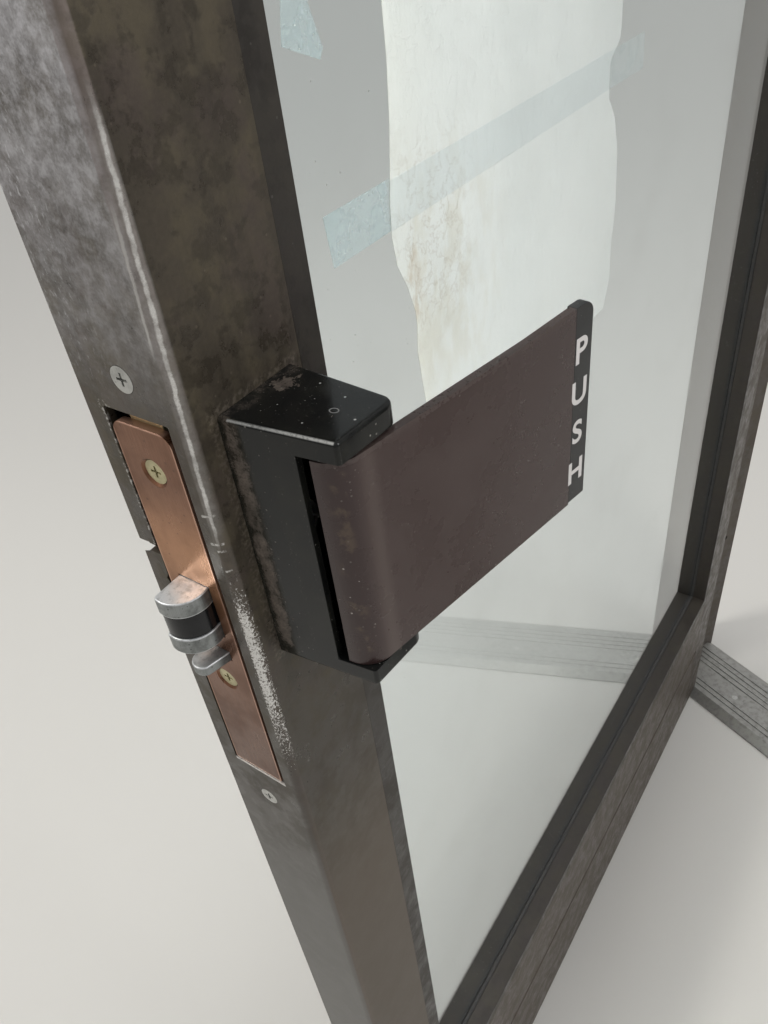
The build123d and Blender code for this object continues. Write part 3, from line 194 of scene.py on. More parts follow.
class Shader:
    """Adds nodes to one node tree and joins them.

    Attributes:
        tree: The node tree that is being built.
        place: The coordinates of every pattern that is given none of its own.
        surface: The Principled node, in a material.
    """

    def __init__(self, tree: bpy.types.NodeTree) -> None:
        """Keep the tree."""
        self.tree = tree
        self.place: Signal | None = None
        self.surface: bpy.types.Node | None = None

    def node(self, kind: str, **settings: object) -> bpy.types.Node:
        """Add a node.

        Args:
            kind: The node's type name without its ShaderNode beginning.
            settings: Properties to set on it.

        Returns:
            The new node.
        """
        made = self.tree.nodes.new(f"ShaderNode{kind}")
        for key, value in settings.items():
            setattr(made, key, value)
        return made

    def source(self, kind: str, output: str) -> Signal:
        """Add a node that takes nothing and return one of its outputs."""
        return Signal(self, self.node(kind).outputs[output])

    def feed(self, socket: bpy.types.NodeSocket, value: object) -> None:
        """Join a signal to an input, or set the input's own value."""
        if isinstance(value, Signal):
            self.tree.links.new(value.socket, socket)
        else:
            socket.default_value = value

    def fill(self, node: bpy.types.Node, **given: object) -> bpy.types.Node:
        """Feed a node's inputs and return the node.

        Args:
            node: The node.
            given: Signals or values by the input's name, with _ for a space.

        Returns:
            The same node.
        """
        for name, value in given.items():
            self.feed(node.inputs[name.replace("_", " ")], value)
        return node

    def math(self, operation: str, first: Value, second: Value = 0.0) -> Signal:
        """Add a Math node and return its result."""
        made = self.node("Math", operation=operation)
        self.feed(made.inputs[0], first)
        self.feed(made.inputs[1], second)
        return Signal(self, made.outputs[0])

    def most(self, *values: Signal) -> Signal:
        """Return the greatest of several values."""
        return reduce(lambda first, second: self.math("MAXIMUM", first, second), values)

    def reach(self, value: Signal, low: Value, high: Value, start: float = 0.0, end: float = 1.0) -> Signal:
        """Map a value from low..high to start..end, smoothly and held at both ends."""
        made = self.node("MapRange", interpolation_type="SMOOTHSTEP", clamp=True)
        self.fill(made, Value=value, From_Min=low, From_Max=high, To_Min=start, To_Max=end)
        return Signal(self, made.outputs["Result"])

    def blend(self, share: Signal, first: Signal | Colour, second: Signal | Colour) -> Signal:
        """Mix two colours. One given as numbers is red, green and blue, 0 to 255."""
        made = self.node("Mix", data_type="RGBA", blend_type="MIX", clamp_factor=True)
        for place, given in ((0, share), (6, first), (7, second)):
            self.feed(made.inputs[place], paint(given) if isinstance(given, tuple) else given)
        return Signal(self, made.outputs[2])

    def coats(self, base: Signal | Colour, *coats: tuple[Signal, Signal | Colour]) -> Signal:
        """Lay colours over a base in order.

        Args:
            base: The colour underneath.
            coats: For each coat, how much of it shows and its colour.

        Returns:
            The colour on top.
        """
        return reduce(lambda under, coat: self.blend(coat[0], under, coat[1]), coats, base)

    def vector(self, operation: str, by: Triple, at: Signal | None) -> Signal:
        """Add a VectorMath node between a pattern's coordinates and three numbers."""
        made = self.node("VectorMath", operation=operation)
        self.feed(made.inputs[0], at or self.place)
        self.feed(made.inputs[1], by)
        return Signal(self, made.outputs[0])

    def stretch(self, by: Triple, at: Signal | None = None) -> Signal:
        """Multiply coordinates part by part."""
        return self.vector("MULTIPLY", by, at)

    def shifted(self, by: Triple, at: Signal | None = None) -> Signal:
        """Move a pattern's origin."""
        return self.vector("SUBTRACT", by, at)

    def tilted(self, angle: float, centre: Triple) -> Signal:
        """Turn a pattern about an axis along its first coordinate."""
        made = self.node("VectorRotate", rotation_type="X_AXIS")
        self.fill(made, Vector=self.place, Center=centre, Angle=angle)
        return Signal(self, made.outputs["Vector"])

    def length(self) -> Signal:
        """Return the distance from a pattern's origin."""
        made = self.node("VectorMath", operation="LENGTH")
        self.feed(made.inputs[0], self.place)
        return Signal(self, made.outputs["Value"])

    def split(self, at: Signal | None = None) -> list[Signal]:
        """Return the three parts of a pattern's coordinates."""
        made = self.node("SeparateXYZ")
        self.feed(made.inputs[0], at or self.place)
        return [Signal(self, output) for output in made.outputs]

    def noise(self, scale: Value, detail: float = 4.0, rough: float = 0.6, at: Signal | None = None) -> Signal:
        """Add a Noise Texture and return its value, 0 to 1."""
        made = self.node("TexNoise")
        self.fill(made, Vector=at or self.place, Scale=scale, Detail=detail, Roughness=rough)
        return Signal(self, made.outputs["Fac"])

    def effect(self, effect: "Effect", at: Signal | None = None, **given: Value) -> Signal:
        """Place a shared group with its own values.

        Args:
            effect: The group's pattern.
            at: Its coordinates, where they aren't the shader's own.
            given: Its number inputs by name, with _ for a space.

        Returns:
            The group's mask.
        """
        made = self.node("Group", node_tree=effect.tree())
        self.fill(made, Vector=at or self.place, **given)
        return Signal(self, made.outputs[0])

    def cloud(self, scale: float, low: float, high: float, at: Signal | None = None) -> Signal:
        """Return soft blotches, as dust and stains leave them."""
        return self.effect(CLOUD, at, Scale=scale, Low=low, High=high)

    def scratches(self, scale: float, low: float, high: float) -> Signal:
        """Return fine upright hairlines."""
        return self.effect(SCRATCHES, Scale=scale, Low=low, High=high)

    def specks(self, scale: float, size: float, share: float) -> Signal:
        """Return scattered grains, where share says how many of the cells have one."""
        return self.effect(SPECKS, Scale=scale, Size=size, Share=share)

    def spot(self, reach: float, soft: float, at: Signal) -> Signal:
        """Return a round spot about the origin of the coordinates."""
        return self.effect(SPOT, at, Reach=reach, Soft=soft)

    def box(self, soft: float, at: Signal | None = None, **sides: tuple[float, float]) -> Signal:
        """Mask a box of the leaf.

        Args:
            soft: Width of its soft ends.
            at: Its coordinates, where they aren't the shader's own.
            sides: The low and high ends along U, Y and W, where they are bounded.

        Returns:
            The mask, one inside and nought outside.
        """
        lows = {f"{side}_Low": low for side, (low, _) in sides.items()}
        highs = {f"{side}_High": high for side, (_, high) in sides.items()}
        return self.effect(WINDOW, at, Soft=soft, **lows, **highs)

    def wear(self, **given: object) -> None:
        """Feed the inputs of the material's surface."""
        self.fill(self.surface, **given)

    def bump(self, height: Signal, depth_mm: float, strength: float) -> None:
        """Feed a height through a Bump node to the surface's normal."""
        made = self.fill(self.node("Bump"), Strength=strength, Distance=depth_mm * MM, Height=height)
        self.wear(Normal=Signal(self, made.outputs["Normal"]))


# ---- shared patterns


@dataclass(frozen=True)
class Effect:
    """A node group that more than one material uses, built the first time that one asks for it.

    Attributes:
        name: The group's name.
        floats: Its number inputs and their first values.
        pattern: Draws the pattern from the group's inputs.
    """

    name: str
    floats: dict[str, float]
    pattern: Callable[[Shader, dict[str, Signal]], Signal]

    def tree(self) -> bpy.types.NodeTree:
        """Return the group."""
        found = bpy.data.node_groups.get(self.name)
        if found:
            return found
        made = bpy.data.node_groups.new(self.name, "ShaderNodeTree")
        made.interface.new_socket(name="Vector", in_out="INPUT", socket_type="NodeSocketVector")
        for key, value in self.floats.items():
            socket = made.interface.new_socket(name=key, in_out="INPUT", socket_type="NodeSocketFloat")
            socket.default_value = value
        made.interface.new_socket(name="Mask", in_out="OUTPUT", socket_type="NodeSocketFloat")
        s = Shader(made)
        taken = {output.name: Signal(s, output) for output in made.nodes.new("NodeGroupInput").outputs}
        s.place = taken["Vector"]
        s.feed(made.nodes.new("NodeGroupOutput").inputs[0], self.pattern(s, taken))
        return made


def blotches(drawn: float, detail: float, rough: float) -> Callable[[Shader, dict[str, Signal]], Signal]:
    """Make a pattern of noise.

    Args:
        drawn: One for round blotches, less for streaks that run up and down.
        detail: Octaves of the noise.
        rough: Strength of its finer octaves.

    Returns:
        The pattern.
    """

    def pattern(s: Shader, taken: dict[str, Signal]) -> Signal:
        """Draw the noise and sharpen it between Low and High."""
        at = None if drawn == 1.0 else s.stretch((1.0, 1.0, drawn))
        return s.reach(s.noise(taken["Scale"], detail, rough, at), taken["Low"], taken["High"])

    return pattern


def grains(s: Shader, taken: dict[str, Signal]) -> Signal:
    """Draw small grains, one in the middle of each cell that is kept."""
    cells = s.node("TexVoronoi", feature="F1", distance="EUCLIDEAN")
    s.fill(cells, Vector=s.place, Scale=taken["Scale"])
    dice = s.node("SeparateColor")
    s.feed(dice.inputs[0], Signal(s, cells.outputs["Color"]))
    kept = s.math("LESS_THAN", Signal(s, dice.outputs[0]), taken["Share"])
    size = taken["Size"] * (Signal(s, dice.outputs[1]) + 0.3)
    return kept * s.math("LESS_THAN", Signal(s, cells.outputs["Distance"]), size)


def window(s: Shader, taken: dict[str, Signal]) -> Signal:
    """Draw a box with soft ends, one inside and nought outside."""
    sides = []
    for part, letter in zip(s.split(), "UYW"):
        sides.append(((part - taken[f"{letter} Low"]) / taken["Soft"]).held())
        sides.append(((taken[f"{letter} High"] - part) / taken["Soft"]).held())
    return reduce(lambda first, second: first * second, sides)


def disc(s: Shader, taken: dict[str, Signal]) -> Signal:
    """Draw a round spot with a soft rim about the origin."""
    return ((taken["Reach"] - s.length()) / taken["Soft"]).held()


FAR = 1e4
CLOUD = Effect("door_cloud", {"Scale": 0.05, "Low": 0.45, "High": 0.65}, blotches(1.0, 5.0, 0.62))
DRIPS = Effect("door_drips", {"Scale": 0.2, "Low": 0.5, "High": 0.7}, blotches(0.06, 3.0, 0.55))
SCRATCHES = Effect("door_scratches", {"Scale": 1.0, "Low": 0.6, "High": 0.66}, blotches(0.035, 2.0, 0.4))
SPECKS = Effect("door_specks", {"Scale": 0.5, "Size": 0.2, "Share": 0.4}, grains)
SPOT = Effect("door_spot", {"Reach": 2.0, "Soft": 0.3}, disc)
WINDOW = Effect(
    "door_window",
    {"U Low": -FAR, "U High": FAR, "Y Low": -FAR, "Y High": FAR, "W Low": -FAR, "W High": FAR, "Soft": 5.0},
    window,
)


# ---- finishes


@dataclass(frozen=True)
class Finish:
    """A surface finish. The kinds below say how each is coloured.

    Attributes:
        name: The material's name.
        slot: The record's material slot that it stands for; not used.
        colour: Base colour, 0 to 255.
        roughness: Roughness of clean surface.
        metallic: Share of metal.
        on_leaf: True where patterns follow the leaf's frame, in millimetres, and not the row frame.
    """

    name: str
    slot: str
    colour: Colour
    roughness: float = 0.45
    metallic: float = 0.0
    on_leaf: bool = True

    def material(self) -> bpy.types.Material:
        """Return the material, built the first time that it is asked for."""
        found = bpy.data.materials.get(f"{self.name}_finish")
        if found:
            return found
        made = bpy.data.materials.new(f"{self.name}_finish")
        made.use_nodes = True
        made.diffuse_color = paint(self.colour)
        made.node_tree.nodes.clear()
        s = Shader(made.node_tree)
        s.surface = s.node("BsdfPrincipled")
        s.wear(Metallic=self.metallic, Roughness=self.roughness, Base_Color=paint(self.colour))
        place = s.node("Mapping", vector_type="TEXTURE")
        s.fill(place, Vector=s.source("TexCoord", "Object"), Scale=(MM, MM, MM))
        if self.on_leaf:
            turn = (0.0, 0.0, math.radians(LEAF.turn_deg))
            s.fill(place, Location=Vector(LEAF.origin_mm) * MM, Rotation=turn)
        s.place = Signal(s, place.outputs["Vector"])
        self.dress(s)
        s.fill(s.node("OutputMaterial"), Surface=Signal(s, s.surface.outputs["BSDF"]))
        return made

    def dress(self, s: Shader) -> None:
        """Add the finish's own detail.

        Args:
            s: The material's shader tool.
        """
        raise NotImplementedError


@dataclass(frozen=True)
class Bronze(Finish):
    """Dark bronze anodising that has weathered: drip stains, dust and a dull bloom.

    Attributes:
        dust: Colour of the dust, 0 to 255.
        dusty: How much dust lies on it, 0 to 1.
        stained: How strong the drip stains are, 0 to 1.
    """

    dust: Colour = (150, 138, 120)
    dusty: float = 0.3
    stained: float = 0.6

    def weathered(self, s: Shader) -> tuple[Signal, Signal, Signal]:
        """Return the weathered colour, roughness and height."""
        drips = s.effect(DRIPS, Scale=0.13, Low=0.45, High=0.62)
        blotch = s.cloud(0.045, 0.42, 0.6)
        violet = s.cloud(0.05, 0.46, 0.62, at=s.shifted((70.0, 30.0, 90.0)))
        stain = s.cloud(0.16, 0.48, 0.6, at=s.shifted((10.0, 90.0, 40.0)))
        grain = s.cloud(0.7, 0.35, 0.75)
        dust = s.specks(0.4, 0.13, 0.2)
        colour = s.coats(
            self.colour,
            (blotch * (0.6 * self.stained), scaled(self.colour, 1.22, 1.22, 1.1)),
            (violet * (0.5 * self.stained), scaled(self.colour, 1.02, 0.96, 1.08)),
            (stain * (0.45 * self.stained), scaled(self.colour, 0.66)),
            (drips * (0.35 * self.stained), scaled(self.colour, 0.72)),
            (grain * 0.14, scaled(self.colour, 1.45)),
            (dust * (0.5 * self.dusty), self.dust),
        )
        rough = (blotch * 0.16 + stain * -0.1 + self.roughness).held()
        return colour, rough, grain * 0.5 + blotch * 0.9 + stain * -0.7

    def dress(self, s: Shader) -> None:
        """Weather the whole surface."""
        colour, rough, height = self.weathered(s)
        s.wear(Base_Color=colour, Roughness=rough)
        s.bump(height, 0.05, 0.5)


@dataclass(frozen=True)
class LatchStileBronze(Bronze):
    """The lock stile: bare edge above the latch, inside corner worn bright, with painted highlights along its
    ridges.

    Attributes:
        bare: The edge where the colour has gone, 0 to 255.
        rubbed_and_glint: Colour of metal worn bright, and of the painted highlight on the corner's ridges, 0 to
            255.
        radius: The worn corner's radius in millimetres.
    """

    bare: Colour = (188, 186, 188)
    rubbed_and_glint: Colour = (214, 212, 208)
    radius: float = 3.5

    def ridge(self, s: Shader, start: float, slope: float, half: float) -> Signal:
        """Draw a narrow ragged line that winds round the worn corner as it climbs: worn metal with a painted
        highlight.

        Args:
            s: The material's shader tool.
            start: Its angle round the corner at the latch's height, in radians from the edge.
            slope: Change of that angle over a millimetre upwards.
            half: Half its width, in radians.

        Returns:
            The line's mask.
        """
        u, y, w = s.split()
        turn = s.math("ARCTAN2", self.radius - y, self.radius - u)
        jag = (s.noise(0.16, 6.0, 0.7) - 0.5) * 0.5
        away = s.math("ABSOLUTE", turn - (w * slope + start + jag))
        # The narrow line is worn metal with a painted highlight; the wide dim term is a painted glow round it.
        return s.reach(away, half * 0.9, half * 0.3) * 0.8 + s.reach(away, half * 4.0, 0.0) * 0.26

    def rubs_and_glints(self, s: Shader) -> Signal:
        """Return the metal worn bright, the ridges with their painted highlight, speckled corner, nicks and the
        cutout's rim.
        """
        corner = (-5.0, self.radius + 0.4)
        breaks = s.reach(s.noise(0.2, 5.0, 0.65), 0.34, 0.6, 0.55, 1.0)
        broken = breaks * s.reach(s.noise(1.2, 3.0, 0.6), 0.3, 0.5, 0.7, 1.0)
        main = s.box(0.3, U=corner, Y=corner) * s.box(14.0, W=(44.0, 178.0)) * broken
        side = s.box(0.3, U=corner, Y=(-5.0, 5.5)) * s.box(8.0, W=(110.0, 154.0)) * 0.5
        # The ridges: worn metal with a painted highlight where the corner's facets catch light.
        worn_ridge_glints = s.most(self.ridge(s, 0.03, 0.0071, 0.26) * main, self.ridge(s, -1.77, 0.0145, 0.22) * side)

        core = s.box(1.0, U=(-5.0, 2.2), Y=(-5.0, 3.4)) * s.box(22.0, W=(-48.0, 34.0))
        patch = s.box(1.6, U=(-5.0, 4.6), Y=(-5.0, 4.6)) * s.box(24.0, W=(-78.0, 36.0))
        fine = s.noise(1.5, 4.0, 0.7, at=s.stretch((1.0, 1.0, 0.7)))
        dots = s.reach(fine + (patch * 0.14 + core * 0.12), 0.655, 0.73) * s.reach(patch, 0.02, 0.2)

        torn = s.reach(s.noise(0.7, 4.0, 0.7), 0.38, 0.52)
        tilt = s.tilted(0.2, (0.0, 0.0, 50.0))
        nicks = [
            s.box(0.35, tilt, U=(-5.0, 1.6), Y=(-5.0, reach), W=(w - 0.6, w + 0.6)) * torn * 0.75
            for w, reach in ((59.0, 4.0), (48.0, 6.0), (45.2, 4.5), (36.8, 5.5))
        ]

        rim = s.box(0.4, U=(-5.0, 1.0), Y=(35.4, 36.8), W=(34.0, 91.0))
        chips = s.box(1.2, U=(-5.0, 1.0), Y=(32.0, 38.5), W=(85.0, 92.0))
        worn = s.most(rim, chips) * s.cloud(0.6, 0.48, 0.6) * 0.55
        low_rim = s.box(0.3, U=(-5.0, 3.6), Y=(7.6, 35.8), W=(-90.6, -88.9))
        return s.most(worn_ridge_glints, dots, *nicks, worn, low_rim * 0.8)

    def dress(self, s: Shader) -> None:
        """Weather the stile, bare its edge above the latch, wear its corner, paint its highlights and a low
        sheen on its edge, dust round the housing.
        """
        y, w = s.split()[1:]
        colour, rough, height = self.weathered(s)
        low = s.reach(w, -80.0, -210.0) * 0.88
        # Towards the foot the edge face turns grey, a painted sheen of reflected light; the inside face there
        # keeps a brown tone.
        foot = s.blend(s.box(0.6, U=(-8.0, 1.5)), (82, 71, 58), (94, 92, 88))

        edge = s.box(0.6, U=(-8.0, 1.0), W=(80.0, 1500.0)) * s.reach(w, 700.0, 360.0, 0.12, 1.0)
        faded = edge * (s.reach(w, 84.0, 128.0, 0.0, 0.45) + s.reach(w, 120.0, 190.0, 0.0, 0.5))
        pit = s.cloud(0.28, 0.4, 0.66)
        bare = faded * (s.cloud(0.06, 0.34, 0.62) * 0.45 + pit * 0.4 + s.cloud(1.1, 0.3, 0.7) * 0.25 + 0.12)
        flecks = s.cloud(0.45, 0.56, 0.68, at=s.stretch((1.0, 1.6, 0.8)))
        flecks = flecks * s.reach(y, 18.0, 40.0, 0.1, 0.9) * faded

        corner = s.box(0.5, U=(-5.0, self.radius), Y=(-5.0, self.radius))
        polished = corner * s.reach(w, 60.0, 170.0, 0.1, 0.6) * s.reach(pit, 0.0, 1.0, 0.7, 1.0)
        around = s.box(1.6, U=(7.0, 48.0), Y=(-2.0, 1.0), W=(-15.0, 92.0))
        under = s.box(0.6, U=(11.0, 45.0), Y=(-2.0, 1.0), W=(-12.0, 88.5))
        grit = (around - under).held() * s.cloud(0.7, 0.45, 0.62) * 0.55

        marks = self.rubs_and_glints(s)
        colour = s.coats(
            colour,
            (s.reach(w, 40.0, -90.0, 0.0, 0.6), (54, 49, 43)),
            (low, foot),
            (bare, self.bare),
            (flecks, (216, 216, 218)),
            (polished, (134, 122, 118)),
            (grit, (132, 122, 110)),
            # Metal worn bright, and the painted highlight along the ridges.
            (marks, self.rubbed_and_glint),
        )
        rough = rough * (1.0 - low) + low * 0.42
        s.wear(Base_Color=colour, Roughness=(rough + (bare * 0.1 - marks * 0.12)).held())
        s.wear(Metallic=(self.metallic + marks * 0.2).held())
        s.bump(height * s.reach(w, -110.0, 20.0, 0.1, 1.0), 0.07, 0.6)


@dataclass(frozen=True)
class Metal(Finish):
    """Bare or plated metal with hairline marks and grime.

    Attributes:
        grime: Colour of the grime, 0 to 255.
        dirty: How much grime there is, 0 to 1.
        brushed: How strong the hairlines are, 0 to 1.
    """

    grime: Colour = (60, 55, 48)
    dirty: float = 0.4
    brushed: float = 0.4

    def shade(self, s: Shader, colour: Signal) -> Signal:
        """Shade one piece further. A plain metal stays as it is.

        Args:
            s: The material's shader tool.
            colour: The colour so far.

        Returns:
            The colour.
        """
        return colour

    def dress(self, s: Shader) -> None:
        """Draw the hairlines and lay the grime."""
        lines = s.scratches(3.2, 0.35, 0.7)
        dirt = s.cloud(0.14, 0.42, 0.72)
        specks = s.specks(0.8, 0.25, 0.3)
        colour = s.coats(
            self.colour,
            (lines * (0.3 * self.brushed), scaled(self.colour, 1.3)),
            (dirt * (0.6 * self.dirty), self.grime),
            (specks * (0.6 * self.dirty), scaled(self.grime, 0.7)),
        )
        rough = self.roughness + (dirt * 0.2 + lines * (0.1 * self.brushed))
        s.wear(Base_Color=self.shade(s, colour), Roughness=rough.held())
        s.bump(lines - specks * 0.8, 0.015, 0.5)


@dataclass(frozen=True)
class BoltSteel(Metal):
    """The bolt's plates and the trigger: painted highlights along their edges, painted shade at their roots and
    in the dish.
    """

    def shade(self, s: Shader, colour: Signal) -> Signal:
        """Paint shade on the roots and in the dish, and paint highlights along the edges."""
        # A cloud that breaks up the painted shade and highlights.
        worn = s.cloud(0.5, 0.3, 0.6)
        # Painted shade where the plates leave the faceplate and in the trigger's dish.
        root = s.most(s.box(3.0, U=(-5.0, 6.0)), s.box(0.8, U=(-14.0, 5.0), W=(-10.1, -4.0)))
        # Painted highlights along the edges of the plates and the trigger.
        rim_glints = s.most(*(s.box(0.25, W=(w - 0.4, w + 0.4)) for w in (22.5, 16.1, 5.0, -1.7, -10.7)))
        return s.coats(
            colour,
            (root * s.reach(worn, 0.0, 1.0, 0.6, 1.0) * 0.6, (52, 52, 54)),
            (rim_glints * s.reach(worn, 0.0, 1.0, 0.5, 1.0) * 0.7, (232, 234, 236)),
        )


@dataclass(frozen=True)
class PlateBronze(Metal):
    """The faceplate: bronze with painted light over the bolt, browner at both ends, and a painted highlight
    along its rim.
    """

    def dress(self, s: Shader) -> None:
        """Grade it along its length with painted light over the bolt, paint its rim highlight, then scratch and
        stain it.
        """
        w = s.split()[2]
        # Painted pool of light reflected from the bolt onto the plate just above it.
        pale = s.reach(w, -5.0, 30.0) * s.reach(w, 66.0, 34.0)
        lines = s.scratches(3.0, 0.4, 0.7)
        smear = s.cloud(0.05, 0.4, 0.7)
        specks = s.specks(0.32, 0.13, 0.3)
        # Painted highlight along the plate's rim.
        rim = 1.0 - s.box(0.35, Y=(10.3, 34.9), W=(-88.4, 84.6))
        colour = s.coats(
            self.colour,
            (s.reach(w, -10.0, -75.0, 0.0, 0.75), (88, 60, 46)),
            (pale * 0.8, (182, 132, 94)),
            (lines * 0.12, (204, 158, 130)),
            (smear * 0.25, self.grime),
            (specks * 0.5, (84, 58, 46)),
            (rim * 0.5, (222, 178, 156)),
        )
        rough = self.roughness + (smear * 0.15 + lines * 0.06)
        s.wear(Base_Color=colour, Roughness=rough.held())
        s.bump(lines - specks, 0.012, 0.4)


@dataclass(frozen=True)
class Lacquer(Finish):
    """Smooth black or brown coating with handling smudges and a little dust.

    Attributes:
        smudge: Colour that smudges lift it to, 0 to 255.
        smudged: How strong the smudges are, 0 to 1.
        dusty: How much dust lies on it, 0 to 1.
    """

    smudge: Colour = (60, 58, 56)
    smudged: float = 0.4
    dusty: float = 0.25

    def marks(self, s: Shader, colour: Signal) -> tuple[Signal, Value]:
        """Add the marks of one piece. A plain coating has none.

        Args:
            s: The material's shader tool.
            colour: The colour so far.

        Returns:
            The colour, and how dull the surface is where dirt lies.
        """
        return colour, 0.0

    def dress(self, s: Shader) -> None:
        """Lay the smudges, the piece's own marks and the dust."""
        smear = s.cloud(0.05, 0.42, 0.7)
        prints = s.cloud(0.22, 0.5, 0.72)
        dust = s.specks(0.42, 0.12, 0.3)
        fine = s.specks(1.1, 0.16, 0.25)
        colour = s.blend((smear * 0.7 + prints * 0.3) * self.smudged, self.colour, self.smudge)
        colour, dull = self.marks(s, colour)
        colour = s.blend(s.most(dust, fine * 0.6) * self.dusty, colour, (205, 200, 190))
        rough = self.roughness + (smear * 0.12 + dust * 0.3 + dull * 0.5)
        s.wear(Base_Color=colour, Roughness=rough.held())
        s.bump(s.noise(1.4, 2.0, 0.5) * 0.6 + dust * 0.6, 0.012, 0.35)


@dataclass(frozen=True)
class HousingBlack(Lacquer):
    """The housing's gloss black: dust caked along its foot, a patch, a ring, white flecks on top, a painted
    edge highlight and wall reflection.

    Attributes:
        top: Height of the top face above the latch.
        flecks: The white flecks on the top: u, y and radius.
    """

    top: float = 88.5
    flecks: tuple[Triple, ...] = (
        (38.6, -16.2, 0.4),
        (35.5, -27.7, 0.42),
        (27.2, -37.2, 0.46),
        (19.5, -24.7, 0.36),
        (24.0, -12.0, 0.24),
        (31.0, -20.0, 0.2),
    )

    def dress(self, s: Shader) -> None:
        """Lay the coating, with a little less mirror than bare gloss."""
        s.wear(Specular_IOR_Level=0.28)
        super().dress(s)

    def marks(self, s: Shader, colour: Signal) -> tuple[Signal, Value]:
        """Add the dirt that the housing has gathered, a painted highlight along its near top edge and a painted
        olive reflection on its left wall.
        """
        ragged = s.noise(0.16, 5.0, 0.65)
        grain = s.noise(1.3, 4.0, 0.7)
        left_wall = s.box(0.4, U=(5.0, 13.0))
        foot = s.box(3.6, Y=(-9.0, 0.8)) * s.box(22.0, W=(-24.0, 104.0))
        caked = s.reach(foot + (ragged - 0.5) * 2.2, 0.4, 1.15) * left_wall
        smear = s.reach(s.box(6.0, Y=(-27.0, -4.0)) + (ragged - 0.5), 0.35, 0.9) * left_wall
        round_patch = s.spot(7.0, 6.5, at=s.stretch((1.0, 1.15, 1.0), at=s.shifted((34.8, -6.6, self.top))))
        patch = s.reach(round_patch + (s.noise(0.3, 5.0, 0.7) - 0.5) * 2.4, 0.4, 0.6)
        rear = s.box(3.0, Y=(-7.0, 4.0), W=(86.0, 92.0)) * s.reach(ragged, 0.45, 0.62)
        thin = s.reach(grain, 0.32, 0.6, 0.4, 1.0) * s.reach(s.noise(0.4, 4.0, 0.6), 0.34, 0.6, 0.55, 1.0)
        dirt = s.most(caked * 0.95, patch * 0.85, rear * 0.4) * thin

        flecks = [s.spot(reach, 0.2, at=s.shifted((u, y, self.top))) for u, y, reach in self.flecks]
        around = s.stretch((1.0, 0.8, 1.0), at=s.shifted((28.4, -29.1, self.top)))
        ring = (s.spot(1.35, 0.2, at=around) - s.spot(1.1, 0.2, at=around)).held() * 0.6
        # Painted highlight along the near top edge, where the gloss top meets the left wall.
        lip_highlight = s.box(0.3, U=(5.0, 22.0), Y=(-38.5, -3.0), W=(87.5, 88.35))
        white = s.most(*flecks, ring, lip_highlight * s.reach(grain, 0.3, 0.55, 0.35, 0.75))
        colour = s.coats(
            colour,
            # Painted olive reflection on the gloss of the left wall.
            (left_wall * 0.6, (40, 39, 31)),
            (smear * 0.7, (12, 15, 18)),
            (dirt, (120, 109, 100)),
            # White flecks, the ring, and the painted highlight of the near top edge.
            (white * 0.8, (214, 214, 210)),
        )
        return colour, s.most(dirt, white * 0.6)


@dataclass(frozen=True)
class PaddleBronze(Lacquer):
    """The paddle's brown coating: painted shade at the bend and far end, a painted highlight past the bend,
    dusty and worn on top.
    """

    def marks(self, s: Shader, colour: Signal) -> tuple[Signal, Value]:
        """Paint shade round the bend and towards the far end, a highlight past the bend, and lay the dust of
        the top edge.
        """
        side = s.box(4.0, U=(0.0, 23.5), W=(-20.0, 90.0))
        crown = s.box(0.8, W=(78.2, 92.0)) * s.cloud(0.8, 0.4, 0.62)
        stains = s.box(3.0, U=(14.0, 20.0), Y=(-40.0, -31.0)) * s.cloud(0.14, 0.5, 0.62)
        spots = side * s.specks(0.45, 0.12, 0.09)
        colour = s.coats(
            colour,
            # Painted shade round the bend and on the side face.
            (side * 0.65, (48, 34, 34)),
            # Painted highlight just past the bend.
            (s.box(3.0, U=(22.5, 30.0)) * 0.3, (104, 92, 86)),
            # Painted shade that darkens the face towards its far end.
            (s.reach(s.split()[0], 60.0, 135.0) * 0.5, (52, 37, 36)),
            (crown * 0.6, (92, 82, 78)),
            (stains * 0.3, (120, 104, 82)),
            (spots * 0.7, (190, 182, 176)),
        )
        return colour, s.most(crown * 0.8, spots * 0.6)


@dataclass(frozen=True)
class Pane(Finish):
    """Clear glass with a faint tint and dust, which lets most light through to what is behind it."""

    def dress(self, s: Shader) -> None:
        """Set the glass and scatter dust on it."""
        film = s.cloud(0.02, 0.45, 0.8)
        dust = s.specks(0.25, 0.07, 0.35)
        rough = self.roughness + (film * 0.05 + dust * 0.6)
        s.wear(
            Transmission_Weight=1.0,
            IOR=1.45,
            Alpha=1.0 - s.source("LightPath", "Is Shadow Ray") * 0.94,
            Base_Color=s.blend(s.most(film * 0.12, dust), self.colour, (196, 200, 196)),
            Roughness=rough.held(),
        )


